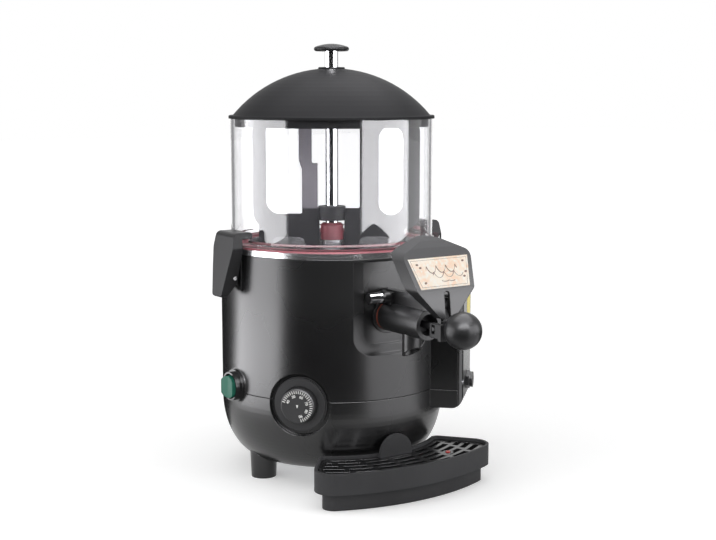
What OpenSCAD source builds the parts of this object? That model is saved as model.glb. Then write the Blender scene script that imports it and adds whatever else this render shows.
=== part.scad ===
// Hot chocolate dispenser: heated bowl in a round housing, clear container,
// stirring paddle, front tap with a lift lever, and a loose drip tray.
// Millimetres. +Z is up, the front of the machine faces -Y, and the origin is
// on the table under the centre of the round housing.

/* [Housing] */
// Outer radius of the round housing
body_r = 121.5; // [116:0.5:130]
// Height of the housing's top edge above the table
body_top = 245; // [238:1:260]
// Height of the joint between the upper and the lower housing
seam_z = 98; // [92:1:104]
// Width of the open line at that joint
seam_gap = 0.6; // [0.4:0.1:1.2]
// Wall thickness of the housing
wall = 3; // [2.5:0.1:3.5]
// Height of the flat underside above the table
floor_z = 19; // [17:0.5:22]
// How far the underside curve draws in
under_w = 38.5; // [32:0.5:42]
// How high the underside curve rises
under_h = 66; // [60:1:70]

/* [Feet] */
// Radius of a foot where it meets the housing
foot_r = 15; // [12:0.5:17]
// How much a foot narrows towards the table
foot_taper = 1.5; // [0:0.1:3]
// How far the feet's centres stay inside the housing's side
foot_inset = 32.5; // [30:0.5:38]

/* [Base plate] */
// Radius of the hole in the underside
base_hole_r = 60; // [50:1:64]
// Thickness of the steel base plate
base_t = 1.6; // [1:0.1:2]
// Overlap of the base plate on the housing
base_lap = 9; // [7:0.5:10]
// Radius of the base plate screws
base_screw_r = 1.75; // [1.5:0.05:2]

/* [Control box] */
// Direction of the control box, from the front towards the right
box_angle = 45; // [43:0.5:47]
// Half the width of the control box
box_half_w = 39; // [34:0.5:41]
// Distance of its outer face from the machine's centre
box_face_r = 150; // [146:0.5:156]
// Height of its top
box_top = 210; // [200:1:220]
// Height of its underside
box_bottom = 78; // [74:1:82]
// Rounding of the lower outer edge
box_low_r = 12; // [8:0.5:14]
// Rounding of its other edges
box_edge_r = 6; // [4:0.5:8]
// Thickness of the screwed cover
cover_t = 4.7; // [4:0.1:6]
// Open line between the box and its cover
cover_gap = 0.4; // [0.2:0.1:0.8]
// Radius of the cover screws
cover_screw_r = 1.5; // [1.25:0.05:2]
// Height of the cable gland
gland_z = 102; // [100:1:112]
// Bore of the cable gland
gland_bore_r = 4.2; // [3.5:0.1:5]
// Radius of the gland's threaded neck
gland_neck_r = 7; // [6.5:0.1:8]

/* [Front recess] */
// Half the width of the outer step of the recess
recess_half_w = 46.7; // [42:0.5:50]
// Half the width of the flat inside the recess
flat_half_w = 33; // [30:0.5:36]
// Height of the lower edge of the outer step
recess_z = 145; // [142:1:150]
// Height of the lower edge of the flat
flat_z = 154; // [152:1:158]
// Corner radius of the outer step
recess_corner_r = 20; // [14:1:24]
// Corner radius of the flat
flat_corner_r = 14; // [10:1:16]
// Depth of the tap's flat seat inside the housing's side
flat_depth = 16.5; // [14.5:0.5:17]
// Depth of the recess step inside the housing's side
step_depth = 11; // [9.5:0.5:12]

/* [Heated bowl] */
// Inner radius of the chocolate bowl
bowl_r = 92; // [86:0.5:93]
// Thickness of the stainless sheet
sheet = 1.5; // [1:0.1:1.8]
// Height of the bowl's inner floor
bowl_floor_z = 165; // [160:1:168]
// How far the bowl's flange stays inside the housing's side
flange_inset = 0.3; // [0.1:0.1:1]
// Height of the top of that flange
flange_top = 251; // [249.5:0.5:254]
// Radius of the steel sleeve in the bowl's centre
sleeve_r = 11; // [10:0.5:12]
// Height of that sleeve's top
sleeve_top = 262; // [256:1:266]
// Outer radius of the water tank
tank_r = 100.5; // [97:0.5:100.5]
// Height of the tank's underside
tank_z = 148; // [144:1:150]
// Ring radius of the heating element
heater_ring_r = 78; // [60:1:84]
// Tube radius of the heating element
heater_r = 3.8; // [3:0.1:4.2]

/* [Column and drive] */
// Outer radius of the bright column
column_r = 7; // [6.6:0.1:7.4]
// Wall of the column tube
column_wall = 1; // [0.8:0.1:1.4]
// Height of the column's top
column_top = 390; // [384:1:392]
// Radius of the drive shaft
shaft_r = 4; // [3:0.1:4.4]
// Running clearance of the shaft in its bushes
running = 0.06; // [0.03:0.01:0.08]
// Height of the silicone cap on the sleeve
seal_top = 271; // [268:0.5:274]
// Radius of the silicone cap
seal_r = 12.4; // [12:0.1:12.8]
// Radius of the gear case
gear_case_r = 38; // [30:1:42]
// Radius of the motor
motor_r = 30; // [24:1:34]
// Height of the lower end of the motor
motor_z = 42; // [36:1:48]
// Height of the joint between motor and gear case
gear_z = 92; // [86:1:98]
// Height of the top of the gear case
gear_top = 128; // [124:1:130]

/* [Clear container] */
// How far the container stays inside the housing's side
container_inset = 11.5; // [10:0.5:13]
// Wall of the container
container_wall = 3.5; // [3:0.1:4]
// Height of the container's top edge
container_top = 384.5; // [376:0.5:390]
// How far the container's foot stays inside the housing's side
clamp_inset = 3.5; // [3:0.1:5]
// Thickness of that flange
clamp_t = 4; // [3:0.1:5]
// Thickness of the silicone gasket
gasket_t = 2; // [1.5:0.1:3]

/* [Stirring paddle] */
// Direction of the paddle at rest, turned from the X axis
paddle_turn = 33; // [0:1:60]
// Thickness of the paddle
paddle_t = 5; // [4:0.5:6]
// Gap from the wide arm to the container
arm_gap = 10.2; // [8:0.1:14]
// Width of the wide arm
arm_w = 18.5; // [14:0.5:20]
// Gap from the second arm to the container
arm2_gap = 19.9; // [14:0.1:26]
// Width of the second arm
arm2_w = 15.2; // [12:0.1:18]
// Inner edge of the inner bar beside the slot
bar_in = 30.5; // [28:0.5:34]
// Width of that inner bar
bar_w = 21; // [16:0.5:22]
// Inner edge of the stepped bar, above its step
step_bar_in = 21.8; // [19:0.1:24]
// Width of the stepped bar
step_bar_w = 14.2; // [12:0.1:16]
// How far the stepped bar moves in below its step
step_in = 6.3; // [3:0.1:7]
// Height of the step
step_z = 333; // [320:1:345]
// Lower edge of the cross bar
cross_z0 = 263.6; // [260:0.5:266]
// Upper edge of the cross bar
cross_z1 = 286.8; // [284:0.5:290]
// Lower end of the slot beside the wide arm
paddle_slot_z = 279; // [272:1:284]
// Width of the paddle's top bar
paddle_top_w = 12; // [9:0.5:14]
// Lower end of the paddle in the bowl
paddle_z0 = 174; // [170:1:180]
// Half the width of the paddle in the bowl
paddle_half_w = 80; // [70:1:84]

/* [Lid] */
// How far the lid's rim stands out past the container
lid_over = 1.5; // [1:0.1:3]
// Radius of the dome's outer surface
dome_r = 139; // [134:1:150]
// How far the dome's edge stays inside the lid's rim
dome_inset = 4.5; // [3:0.1:7]
// Thickness of the lid
lid_wall = 3; // [2.5:0.1:3.5]
// Depth of the skirt inside the container
skirt_h = 8.5; // [6:0.5:10]
// Gap between skirt and container
skirt_gap = 1.5; // [1:0.1:2]
// Radius of the knob's stem
stem_r = 7.2; // [6:0.1:8]
// Height of the knob's stem
stem_h = 17; // [14:0.5:20]
// Radius of the knob's cap
cap_r = 19; // [16:0.5:22]
// Thickness of the knob's cap
cap_h = 8; // [6:0.5:10]

/* [Latches] */
// How far the latch's pin stands off the housing
latch_pivot_stand = 7.5; // [7:0.5:9.5]
// Height of the latch pivot
latch_pivot_z = 221; // [218:1:224]
// Radius of the latch pin
latch_pin_r = 2; // [1.75:0.05:2.25]
// Length of the latch pin
latch_pin_l = 28; // [26:0.5:29]
// Width of the latch at its top
latch_top_w = 42; // [38:1:46]
// Width of the latch at its lower end
latch_low_w = 21; // [20:0.5:24]
// How far the latch's lower edge stands off the housing
latch_low_stand = 22; // [19.5:0.5:24]
// How far the latch's top stands off the housing
latch_top_stand = 12; // [9.5:0.5:14]
// Height of the lower end of the latch
latch_low_z = 201; // [198:0.5:204]
// Height of the top of the latch
latch_top_z = 268.5; // [267:0.5:271]
// Thickness of the latch's shell
latch_wall = 2.6; // [2:0.1:3]
// Thickness of the rubber pad under the hook
latch_pad_t = 4.6; // [3:0.1:5]

/* [Thermostat] */
// Direction of the thermostat, from the front towards the right
dial_angle = -49.5; // [-52:0.5:-47]
// Height of the dial's centre
dial_z = 94; // [90:0.5:98]
// Radius of the dial
dial_r = 18; // [15:0.5:19]
// Depth of the dial
dial_h = 10; // [8:0.5:12]
// Depth of the dial's recess inside the housing's side
dial_depth = 8; // [6.5:0.5:9.5]
// Radius of the recess
dial_recess_r = 33; // [30:0.5:34]
// Outer radius of the bezel ring
bezel_r = 28.5; // [25:0.5:29.5]
// Thickness of the bezel ring
bezel_t = 3.5; // [3:0.1:4.5]
// Radius of the thermostat's spindle
spindle_r = 3; // [2.5:0.1:3.5]

/* [Switch] */
// Height of the switch's centre
switch_z = 104; // [101:0.5:107]
// Radius of the switch's flange
switch_flange_r = 17.5; // [16.5:0.1:18]
// Radius of the switch's collar
switch_collar_r = 15.2; // [14.8:0.1:15.8]
// Radius of the bore that the rocker moves in
switch_bore_r = 13.4; // [13.2:0.1:14]
// Radius of the rocker
rocker_r = 11.8; // [11:0.1:11.9]
// Tilt of the rocker to each side
rocker_tilt = 9; // [6:0.5:10]

/* [Tap] */
// Height of the tap's axis
tap_z = 183; // [181:0.5:185]
// Outer radius of the tap's tube
tap_r = 15.5; // [14.5:0.1:16]
// Bore of the tap's tube
tap_bore_r = 11; // [10:0.1:11.5]
// Distance of the tube's open end from the machine's centre
tap_end = 177; // [175:0.5:179]
// Distance of the spout from the machine's centre
spout_y = 148; // [146:0.5:150]
// Outer radius of the spout
spout_r = 9.5; // [8.5:0.1:10]
// Wall of the spout
spout_wall = 2; // [1.5:0.1:2.4]
// Height of the spout's lower end
spout_z = 145; // [142:0.5:148]
// Width of the rib on top of the tap
rib_w = 7.8; // [6:0.1:8]
// Radius of the retaining pin
tap_pin_r = 2.5; // [2:0.1:3]
// Radius of the retaining pin's knurled head
tap_pin_head_r = 5.6; // [5:0.1:6]
// Length of that head
tap_pin_head_l = 17; // [14:0.5:20]
// Distance from the tap's flat seat to its retaining pin
tap_pin_ahead = 14; // [13:0.5:15]
// Height of the retaining pin
tap_pin_z = 205; // [204:0.5:206]
// Radius of the round boss behind the retaining pin's head
tap_boss_r = 5.8; // [5.2:0.1:6]
// Distance that boss stands out to the left of the tap's middle
tap_boss_out = 16; // [12:0.5:18]

/* [Lever] */
// Distance of the lever's pivot from the machine's centre
lever_y = 196; // [195:0.5:197]
// Height of the lever's pivot
lever_z = 206; // [205:0.5:207]
// Radius of the lever's pin
lever_pin_r = 2; // [1.75:0.05:2.5]
// Width of the lever's hub
lever_hub_w = 8; // [6:0.5:8.5]
// Width of the lever's fork
fork_w = 19; // [17:0.5:20]
// Radius of the piston rod
rod_r = 3.8; // [3:0.1:4]
// Radius of the ball knob
ball_r = 18.5; // [17:0.5:21]
// Distance of the ball knob's centre from the machine's centre
ball_y = 231.3; // [230:0.5:236]
// Height of the ball knob's centre
ball_z = 185.5; // [184:0.5:187]

/* [Shield] */
// Tilt of the label's face from upright
face_tilt = 25.5; // [22:0.5:28]
// Thickness of the shield
shield_t = 3; // [2.5:0.1:3.5]
// Half the width of the lever slot
slot_half_w = 3.25; // [3:0.05:3.5]
// Height of the top of the lever slot
slot_top = 221; // [219:0.5:222]
// Height of the label's middle
label_z = 238.65; // [236:0.05:241]
// Half the label's width at its top
label_top_half = 36.6; // [34:0.1:37]
// Half the label's width at its lower edge
label_low_half = 29.9; // [28:0.1:30.5]
// Half the label's height, along its face
label_half_h = 15.8; // [14:0.1:16]
// Thickness of the label plate
label_t = 1; // [0.6:0.1:1.2]

/* [Drip tray] */
// How far the tray's rear edge stays inside the housing's side
tray_inset = 6.5; // [5:0.5:7]
// Radius of the tray's front edge
tray_front_r = 237; // [220:1:260]
// Distance of the tray's front from the machine's centre
tray_front_y = 175; // [172:0.5:180]
// Distance of the tray's front corner centres from the middle
tray_corner_x = 87; // [82:1:92]
// Radius of the tray's front corners
tray_corner_r = 20; // [16:0.5:22]
// Radius of the tray's rear corners
tray_back_corner_r = 8; // [7:0.5:9]
// Height of the tray's rim
tray_h = 40; // [38:0.5:42]
// Height of the step where the tray's foot draws in
tray_step_z = 18; // [14:0.5:22]
// How far the tray's foot draws in
tray_step = 8; // [6:0.5:9]
// Wall of the tray
tray_wall = 3; // [2.5:0.1:3.5]
// Radius of the tab at the tray's rear
tab_r = 20; // [16:0.5:22]
// Thickness of the grille
grille_t = 2.6; // [2:0.1:3]
// Radial width of a slot in the grille
grille_slot = 6.2; // [5:0.1:7]
// Radial distance from slot to slot
grille_pitch = 10.4; // [9.5:0.1:12]
// Radius of the float's stem
float_r = 2.4; // [2:0.1:2.8]

/* [Hidden] */
$fn = 96;

eps = 0.01;
fit = 0.05;
loose = 0.3;
black = "#2b2b2d";
steel = "#c9ccd0";
rubber = "#a33a36";

ledge = 3;
ring_in = body_r - 17.5;
flange_r = body_r - flange_inset;
clamp_r = body_r - clamp_inset;
container_r = body_r - container_inset;
foot_ring_r = body_r - foot_inset;
flat_y = body_r - flat_depth;
step_y = body_r - step_depth;
dial_floor = body_r - dial_depth;
tray_rear_r = body_r - tray_inset;
latch_pivot_r = body_r + latch_pivot_stand;
latch_low_out = body_r + latch_low_stand;
latch_top_out = body_r + latch_top_stand;
tap_pin_y = flat_y + tap_pin_ahead;
heater_leg_r = 2.5;
tank_flange_z = flange_top - 2 * sheet;
gasket_z = flange_top;
clamp_z = gasket_z + gasket_t;
container_in = container_r - container_wall;
arm_out = container_in - arm_gap;
arm2_out = container_in - arm2_gap;
lid_r = container_r + lid_over;
dome_edge_r = lid_r - dome_inset;
box_inner = box_half_w - wall;
cover_in = box_face_r - cover_t;
box_wall_end = cover_in - cover_gap;
box_root = sqrt(pow(body_r - wall, 2) - pow(box_half_w, 2)) - 3;
board_back = 29.8;
cover_sink = 1.8;
cover_boss_r = 4;
cover_boss_l = 10;
latch_reach = clamp_r - 6.5;
pad_z = clamp_z + clamp_t + 0.2;
hook_z = pad_z + latch_pad_t;
dome_centre = container_top + 3.5 - sqrt(dome_r * dome_r - dome_edge_r * dome_edge_r);
lid_apex = dome_centre + dome_r;
stem_z = lid_apex + 1;
spindle_end = dial_floor + bezel_t + dial_h - 2;
switch_seat = body_r;
rocker_axis = switch_seat - 2;
trunnion_r = 1.2;
socket_y = flat_y + 2.2;
seal_y = socket_y + 2.6;
seat_y = seal_y + 1.6;
rib_z0 = 199;
rib_top = 214.5;
ear_r = 7;
ear_half_w = 8.5;
ear_t = ear_half_w - lever_hub_w / 2 - loose;
paddle_hub_r = 14;
shoulder = 22;
bracket_r = 62;
bracket_leg_r = 52;
thermo_r = 15;
thermo_l = 18;
hub_fit = paddle_hub_r - 2;
hub_over = 10.5;
shaft_over = 16;
seal_clear = 1.1;
blade_t = 5;
hub_r = 7.5;
ear_back = lever_y - hub_r - 1.5;
shield_screw_y = ear_back - 4.5;
shield_screw_r = 1.5;
shelf_t = 2.5;
stud_r = 4;
face_low_z = 222;
face_low_y = 205.2;
face_high_z = 262;
face_high_y = face_low_y - (face_high_z - face_low_z) * tan(face_tilt);
face_tip_y = 209.5;
shield_back_y = 164;
grille_z = tray_h - 3 - grille_t;
float_x = 52;
float_y = -143.2;

// ---- helpers -------------------------------------------------------------

// Points of an arc round (x, y), from angle a0 to angle a1
function arc(x, y, r, a0, a1, n = 12) =
    [for (i = [0:n]) [x + r * cos(a0 + (a1 - a0) * i / n), y + r * sin(a0 + (a1 - a0) * i / n)]];

// Direction of the outward normal of the line that touches two circles [x, y, r]
function belt_normal(a, b) =
    atan2(b[1] - a[1], b[0] - a[0]) - acos((a[2] - b[2]) / norm([b[0] - a[0], b[1] - a[1]]));

// The turn from one angle on to another, anticlockwise, under a full turn
function turn_to(a0, a1) = let (turn = ((a1 - a0) % 360 + 360) % 360) turn > 359.999 ? 0 : turn;

// One corner of a belt: an arc, or where the outline turns the other way, the point where its two lines meet
function belt_corner(x, y, r, a0, turn, n) = turn < 181 ? arc(x, y, r, a0, a0 + turn, n) :
    let (half = (360 - turn) / 2) [[x + r / cos(half) * cos(a0 - half),
        y + r / cos(half) * sin(a0 - half)]];

// Outline round circles [x, y, r] listed anticlockwise, drawn in by inset
function belt(c, inset = 0, n = 8) = [
    for (i = [0:len(c) - 1])
        let (before = c[(i + len(c) - 1) % len(c)], after = c[(i + 1) % len(c)],
            a0 = belt_normal(before, c[i]))
            each belt_corner(c[i][0], c[i][1], max(c[i][2] - inset, 0.2), a0, turn_to(a0,
                belt_normal(c[i], after)), n)];

// Turns local +X to point outwards in a direction measured from the front
module outwards(angle) { rotate([0, 0, angle - 90]) children(); }

// Stands an X-Z outline up, from distance y0 to y1 in front of the centre
module forwards(y0, y1) { translate([0, -y0, 0]) rotate([90, 0, 0]) linear_extrude(y1 - y0) children(); }

// Stands a Y-Z outline up across X, centred, with y drawn as distance in front
module across(w) {
    translate([-w / 2, 0, 0]) mirror([0, 1, 0]) rotate([90, 0, 90]) linear_extrude(w) children();
}

// A round bar that lies along Y, from distance y0 to y1 in front of the centre
module bar_y(r, y0, y1, x = 0, z = 0) {
    translate([x, -y0, z]) rotate([90, 0, 0]) cylinder(r = r, h = y1 - y0);
}

// A round bar that lies along X
module bar_x(r, x0, x1, y = 0, z = 0) {
    translate([x0, y, z]) rotate([0, 90, 0]) cylinder(r = r, h = x1 - x0);
}

module ring(r_out, r_in, z0, z1) {
    translate([0, 0, z0]) difference() {
        cylinder(r = r_out, h = z1 - z0);
        translate([0, 0, -1]) cylinder(r = r_in, h = z1 - z0 + 2);
    }
}

// ---- housing -------------------------------------------------------------

function under_curve(inset) = let (cx = body_r - under_w, cz = floor_z + under_h, n = 20) [
    for (i = [0:n]) [cx + (under_w - inset) * sin(90 * i / n), cz - (under_h - inset) * cos(90 * i / n)]];

module body_solid(inset, top) {
    rotate_extrude() polygon(concat([[0, floor_z + inset]], under_curve(inset), [[body_r - inset, top],
        [0, top]]));
}

module slab(z0, z1) { translate([-200, -200, z0]) cube([400, 400, z1 - z0]); }

module u_shape(half_w, z0, corner, z1) {
    translate([-half_w, z0 + corner]) square([2 * half_w, z1 - z0 - corner]);
    translate([-half_w + corner, z0]) square([2 * (half_w - corner), corner + 1]);
    for (side = [-1, 1]) translate([side * (half_w - corner), z0 + corner]) circle(r = corner);
}

// Outside of the control box, in local axes with +X outwards
module box_block(x0, x1, inset) {
    low = box_bottom + box_low_r;
    high = box_top - box_edge_r;
    profile = [[box_face_r - box_low_r, low, box_low_r], [box_face_r - box_edge_r, high, box_edge_r],
        [60, high, box_edge_r], [60, low, box_low_r]];
    plan = [[60, -box_half_w + box_edge_r, box_edge_r], [box_face_r - box_edge_r,
        -box_half_w + box_edge_r, box_edge_r],
        [box_face_r - box_edge_r, box_half_w - box_edge_r, box_edge_r], [60, box_half_w - box_edge_r,
            box_edge_r]];
    intersection() {
        translate([0, box_half_w + 5, 0]) rotate([90, 0, 0]) linear_extrude(2 * box_half_w + 10)
            polygon(belt(profile, inset));
        linear_extrude(box_top + 10) polygon(belt(plan, inset));
        translate([x0, -100, 0]) cube([x1 - x0, 200, 300]);
    }
}

module box_shell() {
    outwards(box_angle) difference() {
        box_block(box_root, box_wall_end, 0);
        box_block(90, box_wall_end + 1, wall);
    }
}

module box_room() { outwards(box_angle) box_block(95, box_wall_end + 5, wall); }

module dial_recess() {
    outwards(dial_angle) {
        bar_x(dial_recess_r, dial_floor, body_r + 10, 0, dial_z);
        bar_x(spindle_r + 0.6, dial_floor - 10, dial_floor + 1, 0, dial_z);
    }
}

module dial_backing() {
    intersection() {
        outwards(dial_angle) bar_x(dial_recess_r + wall, dial_floor - wall, body_r + 10, 0, dial_z);
        body_solid(eps, 160);
    }
}

module switch_seat_boss() {
    outwards(-90) bar_x(switch_flange_r + 1.5, switch_seat - 6, switch_seat, 0, switch_z);
}

module switch_hole() { outwards(-90) bar_x(switch_collar_r + fit, switch_seat - 12, switch_seat + 10,
    0, switch_z); }

module upper_housing() {
    color(black) difference() {
        union() {
            intersection() {
                difference() {
                    body_solid(0, body_top);
                    body_solid(wall, body_top + 1);
                }
                slab(seam_z + seam_gap / 2, body_top);
            }
            ring(body_r - 2.4, ring_in, body_top - ledge, tank_flange_z);
            ring(body_r - wall + eps, ring_in, body_top - ledge, body_top - 0.5);
            intersection() {
                union() { box_shell(); dial_backing(); switch_seat_boss(); }
                slab(seam_z + seam_gap / 2, body_top - 1);
            }
            intersection() {
                forwards(flat_y - wall, 130) u_shape(flat_half_w + wall, flat_z - wall,
                    flat_corner_r + wall, body_top - 1.5);
                body_solid(eps, body_top);
            }
            intersection() {
                forwards(step_y - wall, 130)
                    u_shape(recess_half_w + wall, recess_z - wall, recess_corner_r + wall, body_top - 1.5);
                body_solid(eps, body_top);
            }
        }
        intersection() { box_room(); slab(60, 230); }
        forwards(flat_y, 135) u_shape(flat_half_w, flat_z, flat_corner_r, body_top - ledge);
        forwards(step_y, 135) u_shape(recess_half_w, recess_z, recess_corner_r, body_top - ledge);
        bar_y(13.4, 90, 120, 0, tap_z);
        dial_recess();
        switch_hole();
    }
    color(black) cover_screw_spots() difference() {
        bar_x(cover_boss_r, box_wall_end - cover_boss_l, box_wall_end);
        bar_x(cover_screw_r, box_wall_end - cover_boss_l + 1, box_wall_end + 1);
    }
}

module lower_housing() {
    color(black) difference() {
        union() {
            intersection() {
                difference() {
                    body_solid(0, body_top);
                    body_solid(wall, body_top + 1);
                }
                slab(0, seam_z - seam_gap / 2);
            }
            intersection() {
                union() { box_shell(); dial_backing(); switch_seat_boss(); }
                slab(0, seam_z - seam_gap / 2);
            }
            difference() {
                ring(body_r - wall - 0.2, body_r - wall - 2.2, seam_z - 8, seam_z + 5);
                outwards(box_angle) translate([90, -box_half_w - 1, 0]) cube([60, 2 * box_half_w + 2, 200]);
                outwards(dial_angle) bar_x(dial_recess_r + wall + 1, 100, 130, 0, dial_z);
                outwards(-90) bar_x(switch_flange_r + 2.5, 100, 130, 0, switch_z);
            }
            ring(body_r - wall + eps, body_r - wall - 2.2, seam_z - 8, seam_z - 5);
        }
        intersection() { box_room(); slab(60, 230); }
        translate([0, 0, floor_z - 1]) cylinder(r = base_hole_r, h = wall + 2);
        for (a = [45:90:315]) rotate([0, 0, a]) translate([base_hole_r + base_lap / 2, 0, floor_z - 1])
            cylinder(r = base_screw_r, h = wall + 3);
        dial_recess();
        switch_hole();
    }
}

module base_plate() {
    color(steel) difference() {
        translate([0, 0, floor_z - base_t]) cylinder(r = base_hole_r + base_lap, h = base_t);
        for (a = [45:90:315]) rotate([0, 0, a]) translate([base_hole_r + base_lap / 2, 0,
            floor_z - base_t - 1])
            cylinder(r = base_screw_r + loose, h = base_t + 2);
        for (a = [0:30:330]) rotate([0, 0, a]) translate([30, -2.5, floor_z - base_t - 1]) cube([18, 5,
            base_t + 2]);
    }
}

module base_screws() {
    color("silver") for (a = [45:90:315]) rotate([0, 0, a])
        translate([base_hole_r + base_lap / 2, 0, floor_z - base_t]) {
            translate([0, 0, -2]) cylinder(r = 3, h = 2);
            cylinder(r = base_screw_r, h = base_t + wall + 2);
        }
}

module foot(angle) {
    color(black) difference() {
        outwards(angle) translate([foot_ring_r, 0, 0]) cylinder(r1 = foot_r - foot_taper, r2 = foot_r,
            h = 36);
        body_solid(0, body_top);
    }
}

module control_box_cover() {
    color(black) difference() {
        outwards(box_angle) box_block(cover_in, box_face_r + 1, 0);
        cover_screw_spots() bar_x(cover_screw_r + 0.2, cover_in - 1, box_face_r + 1);
        cover_screw_spots() bar_x(3.2, box_face_r - cover_sink, box_face_r + 1);
        outwards(box_angle) bar_x(gland_neck_r + 0.1, cover_in - 1, box_face_r + 1, 0, gland_z);
    }
}

module cover_screw_spots() {
    side = box_inner - cover_boss_r + 0.5;
    low = seam_z + cover_boss_r + 4;
    high = box_top - wall - cover_boss_r - 3;
    outwards(box_angle) for (y = [-side, side], z = [low, high]) translate([0, y, z]) children();
}

module cover_screws() {
    color("silver") cover_screw_spots() {
        bar_x(cover_screw_r, box_wall_end - 8, box_face_r - cover_sink);
        bar_x(2.9, box_face_r - cover_sink, box_face_r - 0.2);
    }
}

module cable_gland() {
    color("#1d1d1f") outwards(box_angle) difference() {
        union() {
            bar_x(gland_neck_r, cover_in - 5, box_face_r + 1, 0, gland_z);
            translate([box_face_r, 0, gland_z]) rotate([0, 90, 0]) cylinder(r = 10, h = 3.5, $fn = 6);
            bar_x(8.4, box_face_r + 3.4, box_face_r + 7, 0, gland_z);
            translate([cover_in - 4, 0, gland_z]) rotate([0, 90, 0]) cylinder(r = 9.5, h = 4, $fn = 6);
        }
        bar_x(gland_bore_r, cover_in - 10, box_face_r + 10, 0, gland_z);
    }
}

module control_board() {
    plate_x = cover_in - board_back;
    board_x = plate_x + 10.5;
    board_z = box_bottom + 42;
    board_h = 72;
    parts = board_x + 1.5;
    color("#2f6b3c") outwards(box_angle) {
        translate([board_x, -28, board_z]) cube([1.6, 56, board_h]);
        translate([parts, -24, board_z + 6]) cube([9, 30, 12]);
        translate([parts, -22, board_z + 30]) cube([12, 22, 26]);
        translate([parts, 8, board_z + 26]) cube([8, 14, 34]);
        for (y = [-23, 23], z = [5, board_h - 5]) bar_x(2.5, plate_x + 1, board_x + 0.5, y, board_z + z);
        translate([plate_x, -box_inner, board_z]) cube([1.5, 2 * box_inner, board_h]);
    }
}

// ---- bowl, tank and drive --------------------------------------------------

module chocolate_bowl() {
    color(steel) difference() {
        union() {
            rotate_extrude() polygon(concat(
                [[sleeve_r - sheet, bowl_floor_z - sheet]],
                arc(bowl_r + sheet - 20, bowl_floor_z - sheet + 20, 20, -90, 0),
                [[bowl_r + sheet, flange_top - sheet], [flange_r - sheet, flange_top - sheet],
                    [flange_r - sheet, body_top + 0.3], [flange_r, body_top + 0.3], [flange_r, flange_top],
                    [bowl_r, flange_top]],
                arc(bowl_r - 18.5, bowl_floor_z + 18.5, 18.5, 0, -90),
                [[sleeve_r, bowl_floor_z], [sleeve_r, sleeve_top], [sleeve_r - sheet, sleeve_top]]));
            bar_y(tap_bore_r + sheet, bowl_r - 0.5, flat_y - 1, 0, tap_z);
        }
        bar_y(tap_bore_r, bowl_r - 6, flat_y, 0, tap_z);
    }
}

module water_tank() {
    color("#a9adb2") difference() {
        rotate_extrude() polygon([[column_r + fit, tank_z], [tank_r, tank_z], [tank_r, tank_flange_z],
            [flange_r - 2.5, tank_flange_z], [flange_r - 2.5, tank_flange_z + sheet], [tank_r - sheet,
                tank_flange_z + sheet],
            [tank_r - sheet, tank_z + sheet], [column_r + fit, tank_z + sheet]]);
        bar_y(tap_bore_r + sheet + 0.1, bowl_r + 2, flat_y, 0, tap_z);
        for (x = [-12, 12]) translate([x, heater_ring_r, tank_z - 1]) cylinder(r = heater_leg_r, h = 4);
    }
}

module heating_element() {
    color("#8d8f92") {
        translate([0, 0, tank_z + sheet + heater_r + 1])
            rotate_extrude() translate([heater_ring_r, 0]) circle(r = heater_r);
        for (x = [-12, 12]) translate([x, heater_ring_r, tank_z - 12]) cylinder(r = heater_leg_r, h = 16);
    }
}

module bowl_gasket() { color(rubber) ring(clamp_r - 1, bowl_r + 5, gasket_z, clamp_z); }

module column_tube() {
    color(steel) difference() {
        translate([0, 0, tank_z - 6]) cylinder(r = column_r, h = column_top - tank_z + 6);
        translate([0, 0, tank_z - 7]) cylinder(r = column_r - column_wall, h = column_top - tank_z + 8);
    }
}

module column_seal() {
    color(rubber) {
        ring(seal_r, sleeve_r, sleeve_top - 9, sleeve_top);
        ring(seal_r, column_r, sleeve_top, seal_top - 2);
        translate([0, 0, seal_top - 2]) difference() {
            cylinder(r1 = seal_r, r2 = seal_r - 2, h = 2);
            translate([0, 0, -1]) cylinder(r = column_r, h = 4);
        }
    }
}

module shaft_bushes() {
    color("ivory") for (z = [tank_z - 5, column_top - 14])
        ring(column_r - column_wall, shaft_r + running, z, z + 14);
}

module gearmotor() {
    color("#6f7276") difference() {
        union() {
            translate([0, 0, gear_z]) cylinder(r = gear_case_r, h = gear_top - gear_z);
            translate([0, 0, motor_z]) cylinder(r = motor_r, h = gear_z - motor_z + 1);
            translate([0, 0, motor_z - 4]) cylinder(r = motor_r * 0.4, h = 5);
        }
        translate([0, 0, gear_top - 20]) cylinder(r = shaft_r + running, h = 30);
    }
}

module motor_bracket() {
    color("#9a9da1") {
        difference() {
            translate([0, 0, gear_top]) cylinder(r = bracket_r, h = 2);
            translate([0, 0, gear_top - 1]) cylinder(r = 12, h = 4);
        }
        for (a = [0:120:240]) rotate([0, 0, a]) translate([bracket_leg_r, 0, gear_top + 1])
            cylinder(r = 4, h = tank_z - gear_top - 1);
    }
}

module drive_shaft() {
    color("silver") translate([0, 0, gear_top - 18]) cylinder(r = shaft_r,
        h = column_top + shaft_over - gear_top + 18);
}

module shaft_coupling() {
    color("#57595c") ring(9, shaft_r, gear_top + 2.5, tank_z - 6.5);
}

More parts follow.
